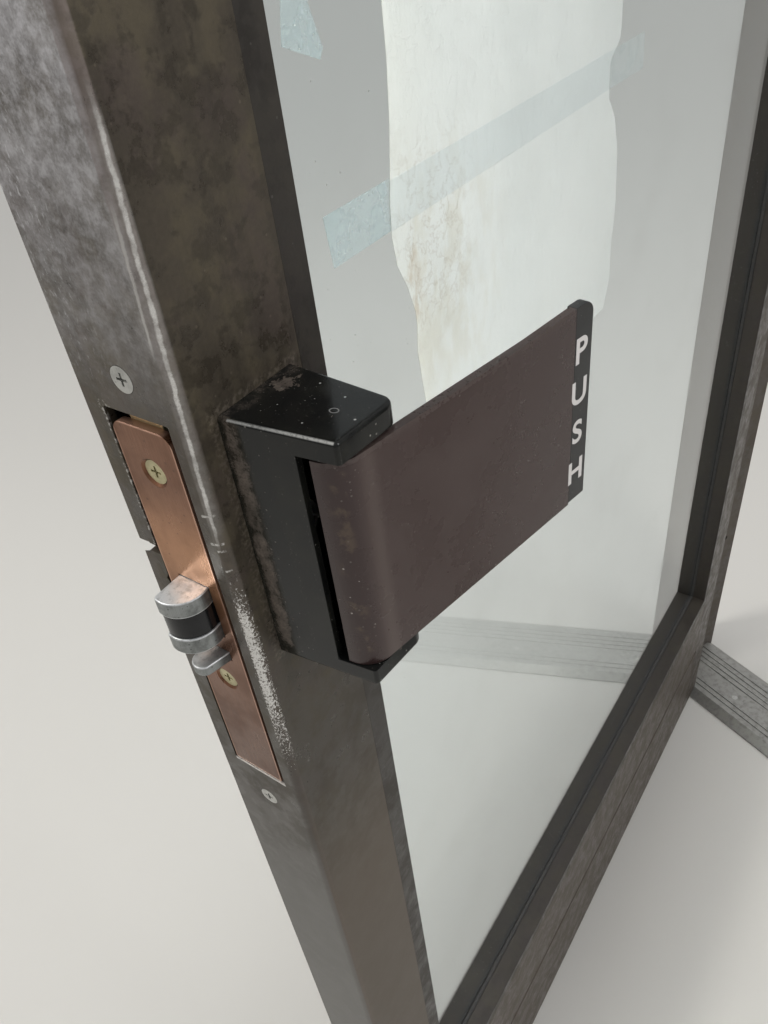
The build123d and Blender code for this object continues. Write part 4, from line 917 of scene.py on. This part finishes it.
@dataclass(frozen=True)
class Paper(Finish):
    """Blank paper that rain and sun have stained and wrinkled.

    Attributes:
        stain: Colour of the stains, 0 to 255.
    """

    stain: Colour = (230, 219, 200)

    def dress(self, s: Shader) -> None:
        """Stain it down its left side, wrinkle it and darken it a little under the strip of tape."""
        crinkle = s.noise(0.055, 6.0, 0.62, at=s.stretch((1.6, 1.0, 0.7)))
        left = s.reach(s.split()[0], 190.0, 136.0)
        damp = s.box(40.0, U=(100.0, 230.0), W=(-10.0, 130.0)) * s.reach(crinkle, 0.42, 0.6)
        veins = s.reach(s.math("ABSOLUTE", s.noise(0.09, 6.0, 0.66) - 0.5), 0.022, 0.004)
        near = s.box(22.0, U=(125.0, 200.0), W=(30.0, 128.0))
        tear = s.box(5.0, U=(138.0, 152.0), W=(50.0, 84.0)) * s.reach(crinkle, 0.4, 0.6)
        strip = s.box(0.5, U=(96.0, 392.0), W=(93.0, 112.0))
        colour = s.coats(
            self.colour,
            (s.cloud(0.014, 0.4, 0.7) * 0.5, (242, 239, 234)),
            ((damp * 0.45 + left * 0.2).held(), self.stain),
            (veins * near * 0.3, (186, 164, 136)),
            (tear * 0.6, (206, 178, 148)),
            (strip * 0.3, (196, 206, 208)),
        )
        s.wear(Base_Color=colour)
        s.bump(crinkle * 1.8 + veins * 0.15 + s.noise(1.6, 6.0, 0.7) * 0.05 + strip * 0.2, 0.9, 0.7)


@dataclass(frozen=True)
class Tape(Finish):
    """Clear tape: a thin bright film with bubbles.

    Attributes:
        opacity: How much of what is behind it it hides, 0 to 1.
    """

    opacity: float = 0.42

    def dress(self, s: Shader) -> None:
        """Make it half clear, cloudier in patches and clearer where it lies on the paper."""
        haze = s.cloud(0.09, 0.4, 0.7)
        off_paper = s.reach(s.split()[0], 138.0, 133.0, 0.45, 1.0)
        alpha = off_paper * s.reach(haze, 0.0, 1.0, self.opacity * 0.85, self.opacity * 1.2)
        s.wear(Alpha=alpha, Roughness=s.reach(haze, 0.0, 1.0, self.roughness, self.roughness + 0.2))
        s.bump(s.noise(0.25, 3.0, 0.5), 0.2, 0.3)


@dataclass(frozen=True)
class Rubber(Finish):
    """Black extruded rubber, bloomed and dusty."""

    def dress(self, s: Shader) -> None:
        """Bloom it with dust."""
        bloom = s.cloud(0.3, 0.4, 0.75)
        rough = s.reach(bloom, 0.0, 1.0, self.roughness, 0.95)
        s.wear(Base_Color=s.blend(bloom * 0.4, self.colour, (88, 84, 78)), Roughness=rough)
        s.bump(s.noise(2.5, 3.0, 0.6), 0.03, 0.4)


BRONZE = Bronze("leaf_bronze", "bronze_extrusion", (66, 58, 51), 0.4, 0.35, stained=0.8)
RAIL_BRONZE = Bronze("rail_bronze", "bronze_extrusion", (78, 70, 62), 0.45, 0.3, dusty=0.6, stained=0.4)
STOP_BRONZE = Bronze(
    "stop_bronze", "bronze_extrusion", (50, 46, 42), 0.38, 0.3, dusty=0.45, dust=(120, 118, 112)
)
FRAME_BRONZE = Bronze("frame_bronze", "bronze_extrusion", (72, 65, 58), 0.45, 0.35, on_leaf=False)
STILE_BRONZE = LatchStileBronze("lock_stile_bronze", "bronze_extrusion", (72, 65, 55), 0.36, 0.3, stained=1.0)
MILL = Metal("mill_aluminium", "mill_aluminium", (165, 164, 160), 0.45, 0.85, on_leaf=False)
HIDDEN_MILL = Metal("inner_aluminium", "mill_aluminium", (175, 174, 170), 0.4, 0.85)
STRIKE_BRONZE = Metal("strike_bronze", "bronze_plate", (120, 92, 74), 0.4, 0.8, on_leaf=False)
COPPER = PlateBronze("faceplate_bronze", "bronze_plate", (122, 84, 62), 0.27, 0.75, grime=(80, 54, 42))
HINGE_DARK = Metal("hinge_bronze", "hinge_steel", (74, 66, 60), 0.42, 0.6, on_leaf=False)
ZINC = Metal("bright_zinc", "zinc_steel", (186, 186, 182), 0.32, 0.85)
YELLOW_ZINC = Metal("yellow_zinc", "yellow_zinc", (186, 178, 140), 0.28, 0.6)
STEEL = BoltSteel(
    "worn_steel", "bolt_steel", (140, 143, 142), 0.32, 0.62, dirty=1.0, brushed=0.6, grime=(64, 66, 62)
)
DARK_STEEL = Lacquer(
    "blackened_steel", "bolt_black", (16, 17, 19), 0.1, 0.3, smudge=(50, 52, 56), smudged=0.2, dusty=0.0
)
BLACK = HousingBlack(
    "housing_black", "housing_black", (19, 20, 20), 0.13, 0.0, smudge=(50, 50, 42), smudged=0.45, dusty=0.22
)
PADDLE = PaddleBronze(
    "paddle_bronze", "paddle_bronze", (64, 49, 46), 0.26, 0.15, smudge=(80, 67, 63), smudged=0.3, dusty=0.12
)
CAP = Lacquer(
    "end_cap_black", "cap_black", (24, 24, 25), 0.35, 0.0, smudge=(50, 50, 50), smudged=0.3, dusty=0.25
)
LETTER = Lacquer(
    "letter_white", "cap_black", (216, 212, 210), 0.5, 0.0, smudge=(200, 198, 190), smudged=0.4, dusty=0.0
)
GLASS = Pane("window_glass", "window_glass", (243, 250, 251), 0.0)
SEAL = Rubber("seal_rubber", "seal_rubber", (30, 30, 31), 0.7)
SHEET = Paper("notice_paper", "notice_paper", (252, 247, 241), 0.75)
FILM = Tape("clear_tape", "clear_tape", (194, 206, 206), 0.16)
DARK_CYLINDER = Metal("cylinder_bronze", "cylinder_bronze", (92, 78, 66), 0.35, 0.8)


# ---- modelling tools


# Points of a copied form closer than this are one point, and faces that meet at less than this are one flat.
SAME_PLACE_MM = 0.002
FLAT_DEG = 0.5


class Workshop:
    """Turns meshes into pieces of the door.

    Attributes:
        nodes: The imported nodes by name.
        bodies: Which body each node rides on.
    """

    def __init__(self, frame: dict) -> None:
        """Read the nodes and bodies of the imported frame."""
        self.nodes: dict[str, bpy.types.Object] = frame["nodes"]
        groups = frame["record"]["behaviour"]["bodies"]
        self.bodies = {node: body for body, members in groups.items() for node in members}

    def piece(
        self, name: str, form: bmesh.types.BMesh, finish: Finish, body: str, smooth: float = 35.0
    ) -> bpy.types.Object:
        """Make a piece of a finished bmesh, which is freed.

        Args:
            name: The piece's name.
            form: Its shape, in the row frame.
            finish: Its finish.
            body: The body that it rides on.
            smooth: Edges sharper than this many degrees stay sharp.

        Returns:
            The new object.
        """
        mesh = bpy.data.meshes.new(name)
        form.to_mesh(mesh)
        form.free()
        mesh.polygons.foreach_set("use_smooth", [True] * len(mesh.polygons))
        mesh.set_sharp_from_angle(angle=math.radians(smooth))
        mesh.materials.append(finish.material())
        made = bpy.data.objects.new(name, mesh)
        bpy.context.scene.collection.objects.link(made)
        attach(made, body)
        log.info("piece %s rides on %s", name, body)
        return made

    def paint(self, finish: Finish, *names: str) -> None:
        """Give CAD nodes a finish as they are."""
        for name in names:
            mesh = self.nodes[name].data
            mesh.materials.clear()
            mesh.materials.append(finish.material())
            log.info("node %s has finish %s", name, finish.name)

    def merged(self, name: str) -> bmesh.types.BMesh:
        """Return a copy of a CAD node with its triangles joined and its flats cleared of inner edges."""
        form = bmesh.new()
        form.from_mesh(self.nodes[name].data)
        bmesh.ops.remove_doubles(form, verts=form.verts, dist=SAME_PLACE_MM * MM)
        bmesh.ops.dissolve_limit(form, angle_limit=math.radians(FLAT_DEG), verts=form.verts, edges=form.edges)
        return form

    def eased(self, finish: Finish, edge: Edge, *names: str, crease: float = 35.0) -> None:
        """Stand copies with softened edges in for CAD nodes.

        Args:
            finish: The copies' finish.
            edge: How far the edges are softened.
            names: The nodes.
            crease: Edges sharper than this many degrees are softened.
        """
        for name in names:
            form = self.merged(name)
            limit = math.radians(crease)
            sharp = [line for line in form.edges if line.is_manifold and line.calc_face_angle(0.0) > limit]
            shape = {"segments": edge.segments, "profile": 0.5, "clamp_overlap": True, "material": -1}
            bmesh.ops.bevel(form, geom=sharp, offset=edge.width, offset_type="OFFSET", affect="EDGES", **shape)
            made = self.piece(f"{name}_eased", form, finish, self.bodies[name], smooth=50.0)
            made.modifiers.new("even_shading", "WEIGHTED_NORMAL").keep_sharp = True
            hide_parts(name)


# ---- sub-assemblies


PLACES = ("top", "middle", "bottom")


@dataclass
class DoorFrame:
    """The jambs, header, threshold, stops, strike and hinges."""

    shop: Workshop

    def build(self) -> None:
        """Dress the frame's pieces."""
        stops = [f"{side}_door_stop" for side in ("strike", "hinge", "header")]
        self.shop.eased(FRAME_BRONZE, Edge.CRISP, "header", *stops)
        self.shop.paint(FRAME_BRONZE, "strike_jamb", "hinge_jamb")
        self.shop.paint(MILL, "threshold", "header_clips")
        self.shop.paint(STRIKE_BRONZE, "strike_plate")
        self.shop.paint(HINGE_DARK, "hinge_pins", *(f"frame_hinge_{place}" for place in PLACES))
        self.shop.paint(ZINC, "frame_screws", "frame_backup_plates")
        self.shop.paint(SEAL, "door_seals")


@dataclass
class Leaf:
    """The stiles, rails, glazing stops and what ties them."""

    shop: Workshop

    def build(self) -> None:
        """Dress the leaf's structure."""
        self.shop.paint(STILE_BRONZE, "lock_stile")
        self.shop.paint(BRONZE, "hinge_stile")
        self.shop.paint(RAIL_BRONZE, "top_rail", "bottom_rail", "kick_rail")
        edges = ("lock", "hinge", "bottom", "top")
        stops = [f"{side}_{edge}_stop" for side in ("interior", "exterior") for edge in edges]
        self.shop.eased(STOP_BRONZE, Edge.CRISP, *stops)
        self.shop.paint(HINGE_DARK, *(f"door_hinge_{place}" for place in PLACES))
        self.shop.paint(ZINC, "door_hinge_screws", "door_backup_plates", "tie_rods")
        self.shop.paint(HIDDEN_MILL, "corner_brackets")
        self.shop.paint(GLASS, "glass_pane")
        self.shop.paint(SEAL, "setting_blocks", "glass_gaskets")


@dataclass
class Latch:
    """The faceplate, bolt, trigger and what holds them."""

    shop: Workshop

    def build(self) -> None:
        """Dress the latch."""
        self.shop.eased(COPPER, Edge.CRISP, "faceplate")
        self.shop.eased(STEEL, Edge.EASED, "latch_bolt_side_plates", "deadlatch_trigger")
        self.shop.eased(DARK_STEEL, Edge.CRISP, "latch_bolt_core")
        self.shop.paint(YELLOW_ZINC, "faceplate_screws", "mounting_brackets")
        self.shop.paint(ZINC, "bracket_screws", "lock_case", "drive_cam")
        self.shop.paint(DARK_CYLINDER, "cylinder_body", "cylinder_ring", "cylinder_plug")


@dataclass
class PaddleSet:
    """The paddle, its housing and the word on its end strip.

    Attributes:
        shop: The workshop.
        lean_deg: How far the paddle's face leans away from the leaf.
        root_mm: The paddle's outer root corner, u and y.
        strip_mm: How far along the paddle the word's middle is.
        print_mm: Thickness of the print.
        sunk_mm: How far the print reaches into the strip.
        weight: How much the strokes are thickened, as a share of the font's size.
        tall_mm: Height of a capital.
        heights_mm: The letters' middles above the latch.
        word: The word, one capital for each height.
    """

    shop: Workshop
    lean_deg: float = 10.6
    root_mm: tuple[float, float] = (15.8, -38.576)
    strip_mm: float = 113.5
    print_mm: float = 0.08
    sunk_mm: float = 0.01
    weight: float = 0.022
    tall_mm: float = 10.3
    heights_mm: tuple[float, ...] = (63.8, 46.7, 29.2, 10.8)
    word: str = "PUSH"

    def build(self) -> None:
        """Dress the paddle and set its word."""
        self.shop.eased(BLACK, Edge.ROUND, "paddle_housing")
        self.shop.eased(PADDLE, Edge.EASED, "paddle")
        self.shop.eased(CAP, Edge.EASED, "paddle_end_cap")
        self.shop.paint(ZINC, "housing_screws", "paddle_pin", "return_spring")
        self.letters()

    def on_face(self, along: float, w: float, out: float) -> Matrix:
        """Return the place of a mark on the paddle's face, x along it, y up and z out of it."""
        lean = math.radians(self.lean_deg)
        way = Vector((math.cos(lean), -math.sin(lean), 0.0))
        away = Vector((-math.sin(lean), -math.cos(lean), 0.0))
        spot = Vector((self.root_mm[0], self.root_mm[1], w)) + way * along + away * out
        turn = Matrix((way, Vector((0, 0, 1)), away)).transposed().to_4x4()
        return LEAF.matrix() @ Matrix.Translation(spot * MM) @ turn

    def letters(self) -> None:
        """Set the capitals one under the other, as flat print."""
        form = bmesh.new()
        for letter, w in zip(self.word, self.heights_mm):
            curve = bpy.data.curves.new(f"letter_{letter}", "FONT")
            curve.body = letter
            curve.align_x = curve.align_y = "CENTER"
            curve.offset = self.weight
            curve.extrude = 0.5 * self.print_mm
            text = bpy.data.objects.new(f"letter_{letter}", curve)
            mesh = bpy.data.meshes.new_from_object(text)
            bpy.data.objects.remove(text)
            heights = [vertex.co.y for vertex in mesh.vertices]
            size = self.tall_mm * MM / (max(heights) - min(heights))
            middle = (max(heights) + min(heights)) / 2
            place = self.on_face(self.strip_mm, w, 0.5 * self.print_mm - self.sunk_mm)
            centred = Matrix.Translation((0.0, -middle, 0.0))
            mesh.transform(place @ Matrix.Diagonal((size, size, MM, 1.0)) @ centred)
            form.from_mesh(mesh)
            bpy.data.meshes.remove(mesh)
        bmesh.ops.remove_doubles(form, verts=form.verts, dist=0.5 * SAME_PLACE_MM * MM)
        self.shop.piece("push_lettering", form, LETTER, "push_paddle")


@dataclass
class Notices:
    """The paper sheets and the tape on the outside of the glass.

    Attributes:
        shop: The workshop.
        glass_mm: Depth of the glass's outer face.
        paper_mm: Thickness of a sheet.
        tape_mm: Thickness of the tape.
        gap_mm: Air on each side of a sheet or a strip.
        rows: Number of rows that a sheet is cut into.
        columns: Number of columns.
        lower_left: The lower sheet's left edge, u and w from the bottom up.
        lower_right: Its right edge.
        upper_left: The upper sheet's left edge.
        upper_right: Its right edge.
        strips: Outlines of the pieces of tape, u and w.
    """

    shop: Workshop
    glass_mm: float = 25.4
    paper_mm: float = 0.3
    tape_mm: float = 0.2
    gap_mm: float = 0.02
    rows: int = 92
    columns: int = 12
    lower_left: Outline = (
        (148, -38), (146.5, -12), (147, 9), (145.6, 20), (144, 37), (145.5, 49), (145.2, 55), (141, 68),
        (135.5, 79), (134, 91), (135, 104), (137, 114), (139.5, 130), (141.5, 150), (142, 180), (141, 238),
    )
    lower_right: Outline = (
        (353, -38), (356, -30), (360, -22), (359, 4), (361, 16), (361.5, 28), (359, 57), (352, 76),
        (346, 84), (342, 88), (341, 98), (341, 107), (346, 111), (352, 114), (353, 122), (352, 140),
        (354, 180), (355, 238),
    )
    upper_left: Outline = ((147, 124), (146, 180), (142, 240), (141, 300), (142, 386))
    upper_right: Outline = ((346, 122), (348, 180), (352, 240), (350, 300), (351, 384))
    strips: tuple[Outline, ...] = (
        (
            (96.5, 112), (98.5, 93), (180, 93.6), (300, 93.4), (391, 92.4), (389.5, 111.2), (300, 111.6),
            (180, 112.4),
        ),
        ((90, 165), (107, 158), (109, 161), (104, 176), (100, 196), (96, 195), (93, 178)),
        ((278, 322), (384, 330), (382.6, 349), (276.6, 341)),
    )

    def place(self, u: float, w: float, depth: float) -> Vector:
        """Return a point on the sheets at a depth from the glass."""
        return LEAF.point(u, self.glass_mm + depth, w)

    def edge_at(self, edge: Outline, w: float) -> float:
        """Return where an edge given from the bottom up crosses a height."""
        for (u0, w0), (u1, w1) in zip(edge, edge[1:]):
            if w <= w1:
                return u0 + (u1 - u0) * max(0.0, (w - w0) / (w1 - w0))
        return edge[-1][0]

    def sheet(self, name: str, left: Outline, right: Outline, depth: float) -> None:
        """Cut one sheet to its edges and hang it for its node.

        Args:
            name: The CAD node.
            left: Its left edge, from the bottom up.
            right: Its right edge, from the bottom up.
            depth: Distance of its near side from the glass.
        """
        form = bmesh.new()
        low, high = left[0][1], left[-1][1]
        lines = []
        for row in range(self.rows + 1):
            w = low + (high - low) * row / self.rows
            start, end = self.edge_at(left, w), self.edge_at(right, w)
            across = [start + (end - start) * column / self.columns for column in range(self.columns + 1)]
            lines.append([form.verts.new(self.place(u, w, depth + self.gap_mm)) for u in across])
        for under, over in zip(lines, lines[1:]):
            for k in range(self.columns):
                form.faces.new((under[k], under[k + 1], over[k + 1], over[k]))
        form.normal_update()
        bmesh.ops.solidify(form, geom=form.faces, thickness=(self.paper_mm - 2 * self.gap_mm) * MM)
        self.finish_form(form, depth)
        made = self.shop.piece(f"{name}_sheet", form, SHEET, "door_leaf")
        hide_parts(name)

    def finish_form(self, form: bmesh.types.BMesh, depth: float) -> None:
        """Turn every face of a form outwards and set it just outside the glass at its depth."""
        bmesh.ops.recalc_face_normals(form, faces=form.faces)
        back = LEAF.matrix().inverted()
        nearest = min((back @ vertex.co).y for vertex in form.verts)
        wanted = (self.glass_mm + depth + self.gap_mm) * MM
        away = LEAF.matrix().to_3x3() @ Vector((0.0, wanted - nearest, 0.0))
        bmesh.ops.translate(form, verts=form.verts, vec=away)

    def tape(self) -> None:
        """Lay the strips of tape over the sheets."""
        form = bmesh.new()
        depth = 2 * self.paper_mm
        out = LEAF.matrix().to_3x3() @ Vector((0.0, (self.tape_mm - 2 * self.gap_mm) * MM, 0.0))
        for outline in self.strips:
            face = form.faces.new([form.verts.new(self.place(u, w, depth)) for u, w in outline])
            made = bmesh.ops.extrude_face_region(form, geom=[face])["geom"]
            lifted = [item for item in made if isinstance(item, bmesh.types.BMVert)]
            bmesh.ops.translate(form, verts=lifted, vec=out)
        self.finish_form(form, depth)
        made = self.shop.piece("notice_tape_film", form, FILM, "door_leaf")
        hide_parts("notice_tape")

    def build(self) -> None:
        """Hang the sheets and lay the tape."""
        self.sheet("lower_notice", self.lower_left, self.lower_right, 0.0)
        self.sheet("upper_notice", self.upper_left, self.upper_right, self.paper_mm)
        self.tape()


# ---- studio


@dataclass
class Studio:
    """The pale floor, the soft light and the camera.

    Attributes:
        eye_mm: Where the camera stands, in the row frame.
        right: The picture's rightward direction.
        down: The picture's downward direction.
        lens_mm: Focal length for a 36 mm long side.
        sky: Strength of the even light all round.
        key: The warm lamp high on the outside: place by the leaf in millimetres, side in metres, watts.
        side: The white lamp on the strike's side: place in the row frame in metres, side in metres, watts.
    """

    eye_mm: Triple = (-138.17, 835.44, 1141.13)
    right: Triple = (-0.55072, -0.82783, -0.10678)
    down: Triple = (-0.48362, 0.42072, -0.76753)
    lens_mm: float = 28.86
    sky: float = 0.7
    key: tuple[Triple, float, float] = ((-700.0, 1500.0, 1750.0), 0.55, 30.0)
    side: tuple[Triple, float, float] = ((-1.9, -0.6, 2.0), 1.2, 24.0)

    def camera(self) -> None:
        """Place the camera at the photograph's viewing angle."""
        across = Vector(self.right).normalized()
        up = -Vector(self.down)
        up = (up - across * up.dot(across)).normalized()
        data = bpy.data.cameras.new("camera")
        data.lens = self.lens_mm
        data.sensor_width = 36.0
        data.clip_start, data.clip_end = 0.01, 60.0
        made = bpy.data.objects.new("camera", data)
        turn = Matrix((across, up, across.cross(up))).transposed().to_4x4()
        made.matrix_world = Matrix.Translation(Vector(self.eye_mm) * MM) @ turn
        bpy.context.scene.collection.objects.link(made)
        bpy.context.scene.camera = made

    def floor(self) -> None:
        """Lay the pale floor."""
        form = bmesh.new()
        bmesh.ops.create_grid(form, x_segments=8, y_segments=8, size=12.0)
        mesh = bpy.data.meshes.new("floor")
        form.to_mesh(mesh)
        form.free()
        made = bpy.data.materials.new("floor_pale")
        made.use_nodes = True
        surface = made.node_tree.nodes["Principled BSDF"]
        surface.inputs["Base Color"].default_value = paint((214, 212, 207))
        surface.inputs["Roughness"].default_value = 0.9
        mesh.materials.append(made)
        plane = bpy.data.objects.new("floor", mesh)
        plane.location.z = -0.0005
        bpy.context.scene.collection.objects.link(plane)

    def lamp(self, name: str, place: Vector, size: float, power: float, tint: Colour) -> None:
        """Hang a soft square lamp that points at the latch.

        Args:
            name: The lamp's name.
            place: Where it hangs.
            size: Side of the square, in metres.
            power: Power in watts.
            tint: Its colour, 0 to 255.
        """
        data = bpy.data.lights.new(name, "AREA")
        data.size = size
        data.energy = power
        data.color = paint(tint)[:3]
        made = bpy.data.objects.new(name, data)
        aim = LEAF.point(20.0, 0.0, 0.0)
        turn = (aim - place).to_track_quat("-Z", "Y").to_matrix().to_4x4()
        made.matrix_world = Matrix.Translation(place) @ turn
        bpy.context.scene.collection.objects.link(made)

    def light(self) -> None:
        """Light the door softly from above and from the lock side."""
        scene = bpy.context.scene
        scene.view_settings.view_transform = "Standard"
        world = bpy.data.worlds.new("studio")
        world.use_nodes = True
        s = Shader(world.node_tree)
        height = s.split(s.source("TexCoord", "Generated"))[2]
        shade = s.blend(s.reach(height, -0.1, 0.75), (150, 152, 156), (255, 255, 255))
        s.fill(world.node_tree.nodes["Background"], Color=shade, Strength=self.sky)
        scene.world = world
        place, *rest = self.key
        self.lamp("key", LEAF.point(*place), *rest, (255, 252, 246))
        place, *rest = self.side
        self.lamp("side", Vector(place), *rest, (255, 255, 255))

    def build(self) -> None:
        """Set up the studio."""
        self.camera()
        self.floor()
        self.light()


def main() -> None:
    """Build and dress the door in order."""
    logging.basicConfig(level=logging.INFO, format="%(name)s: %(message)s")
    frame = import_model()
    shop = Workshop(frame)
    Studio().build()
    for assembly in (DoorFrame(shop), Leaf(shop), Latch(shop), PaddleSet(shop), Notices(shop)):
        assembly.build()
        log.info("%s done", type(assembly).__name__)
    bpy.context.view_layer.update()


if __name__ == "__main__":
    main()
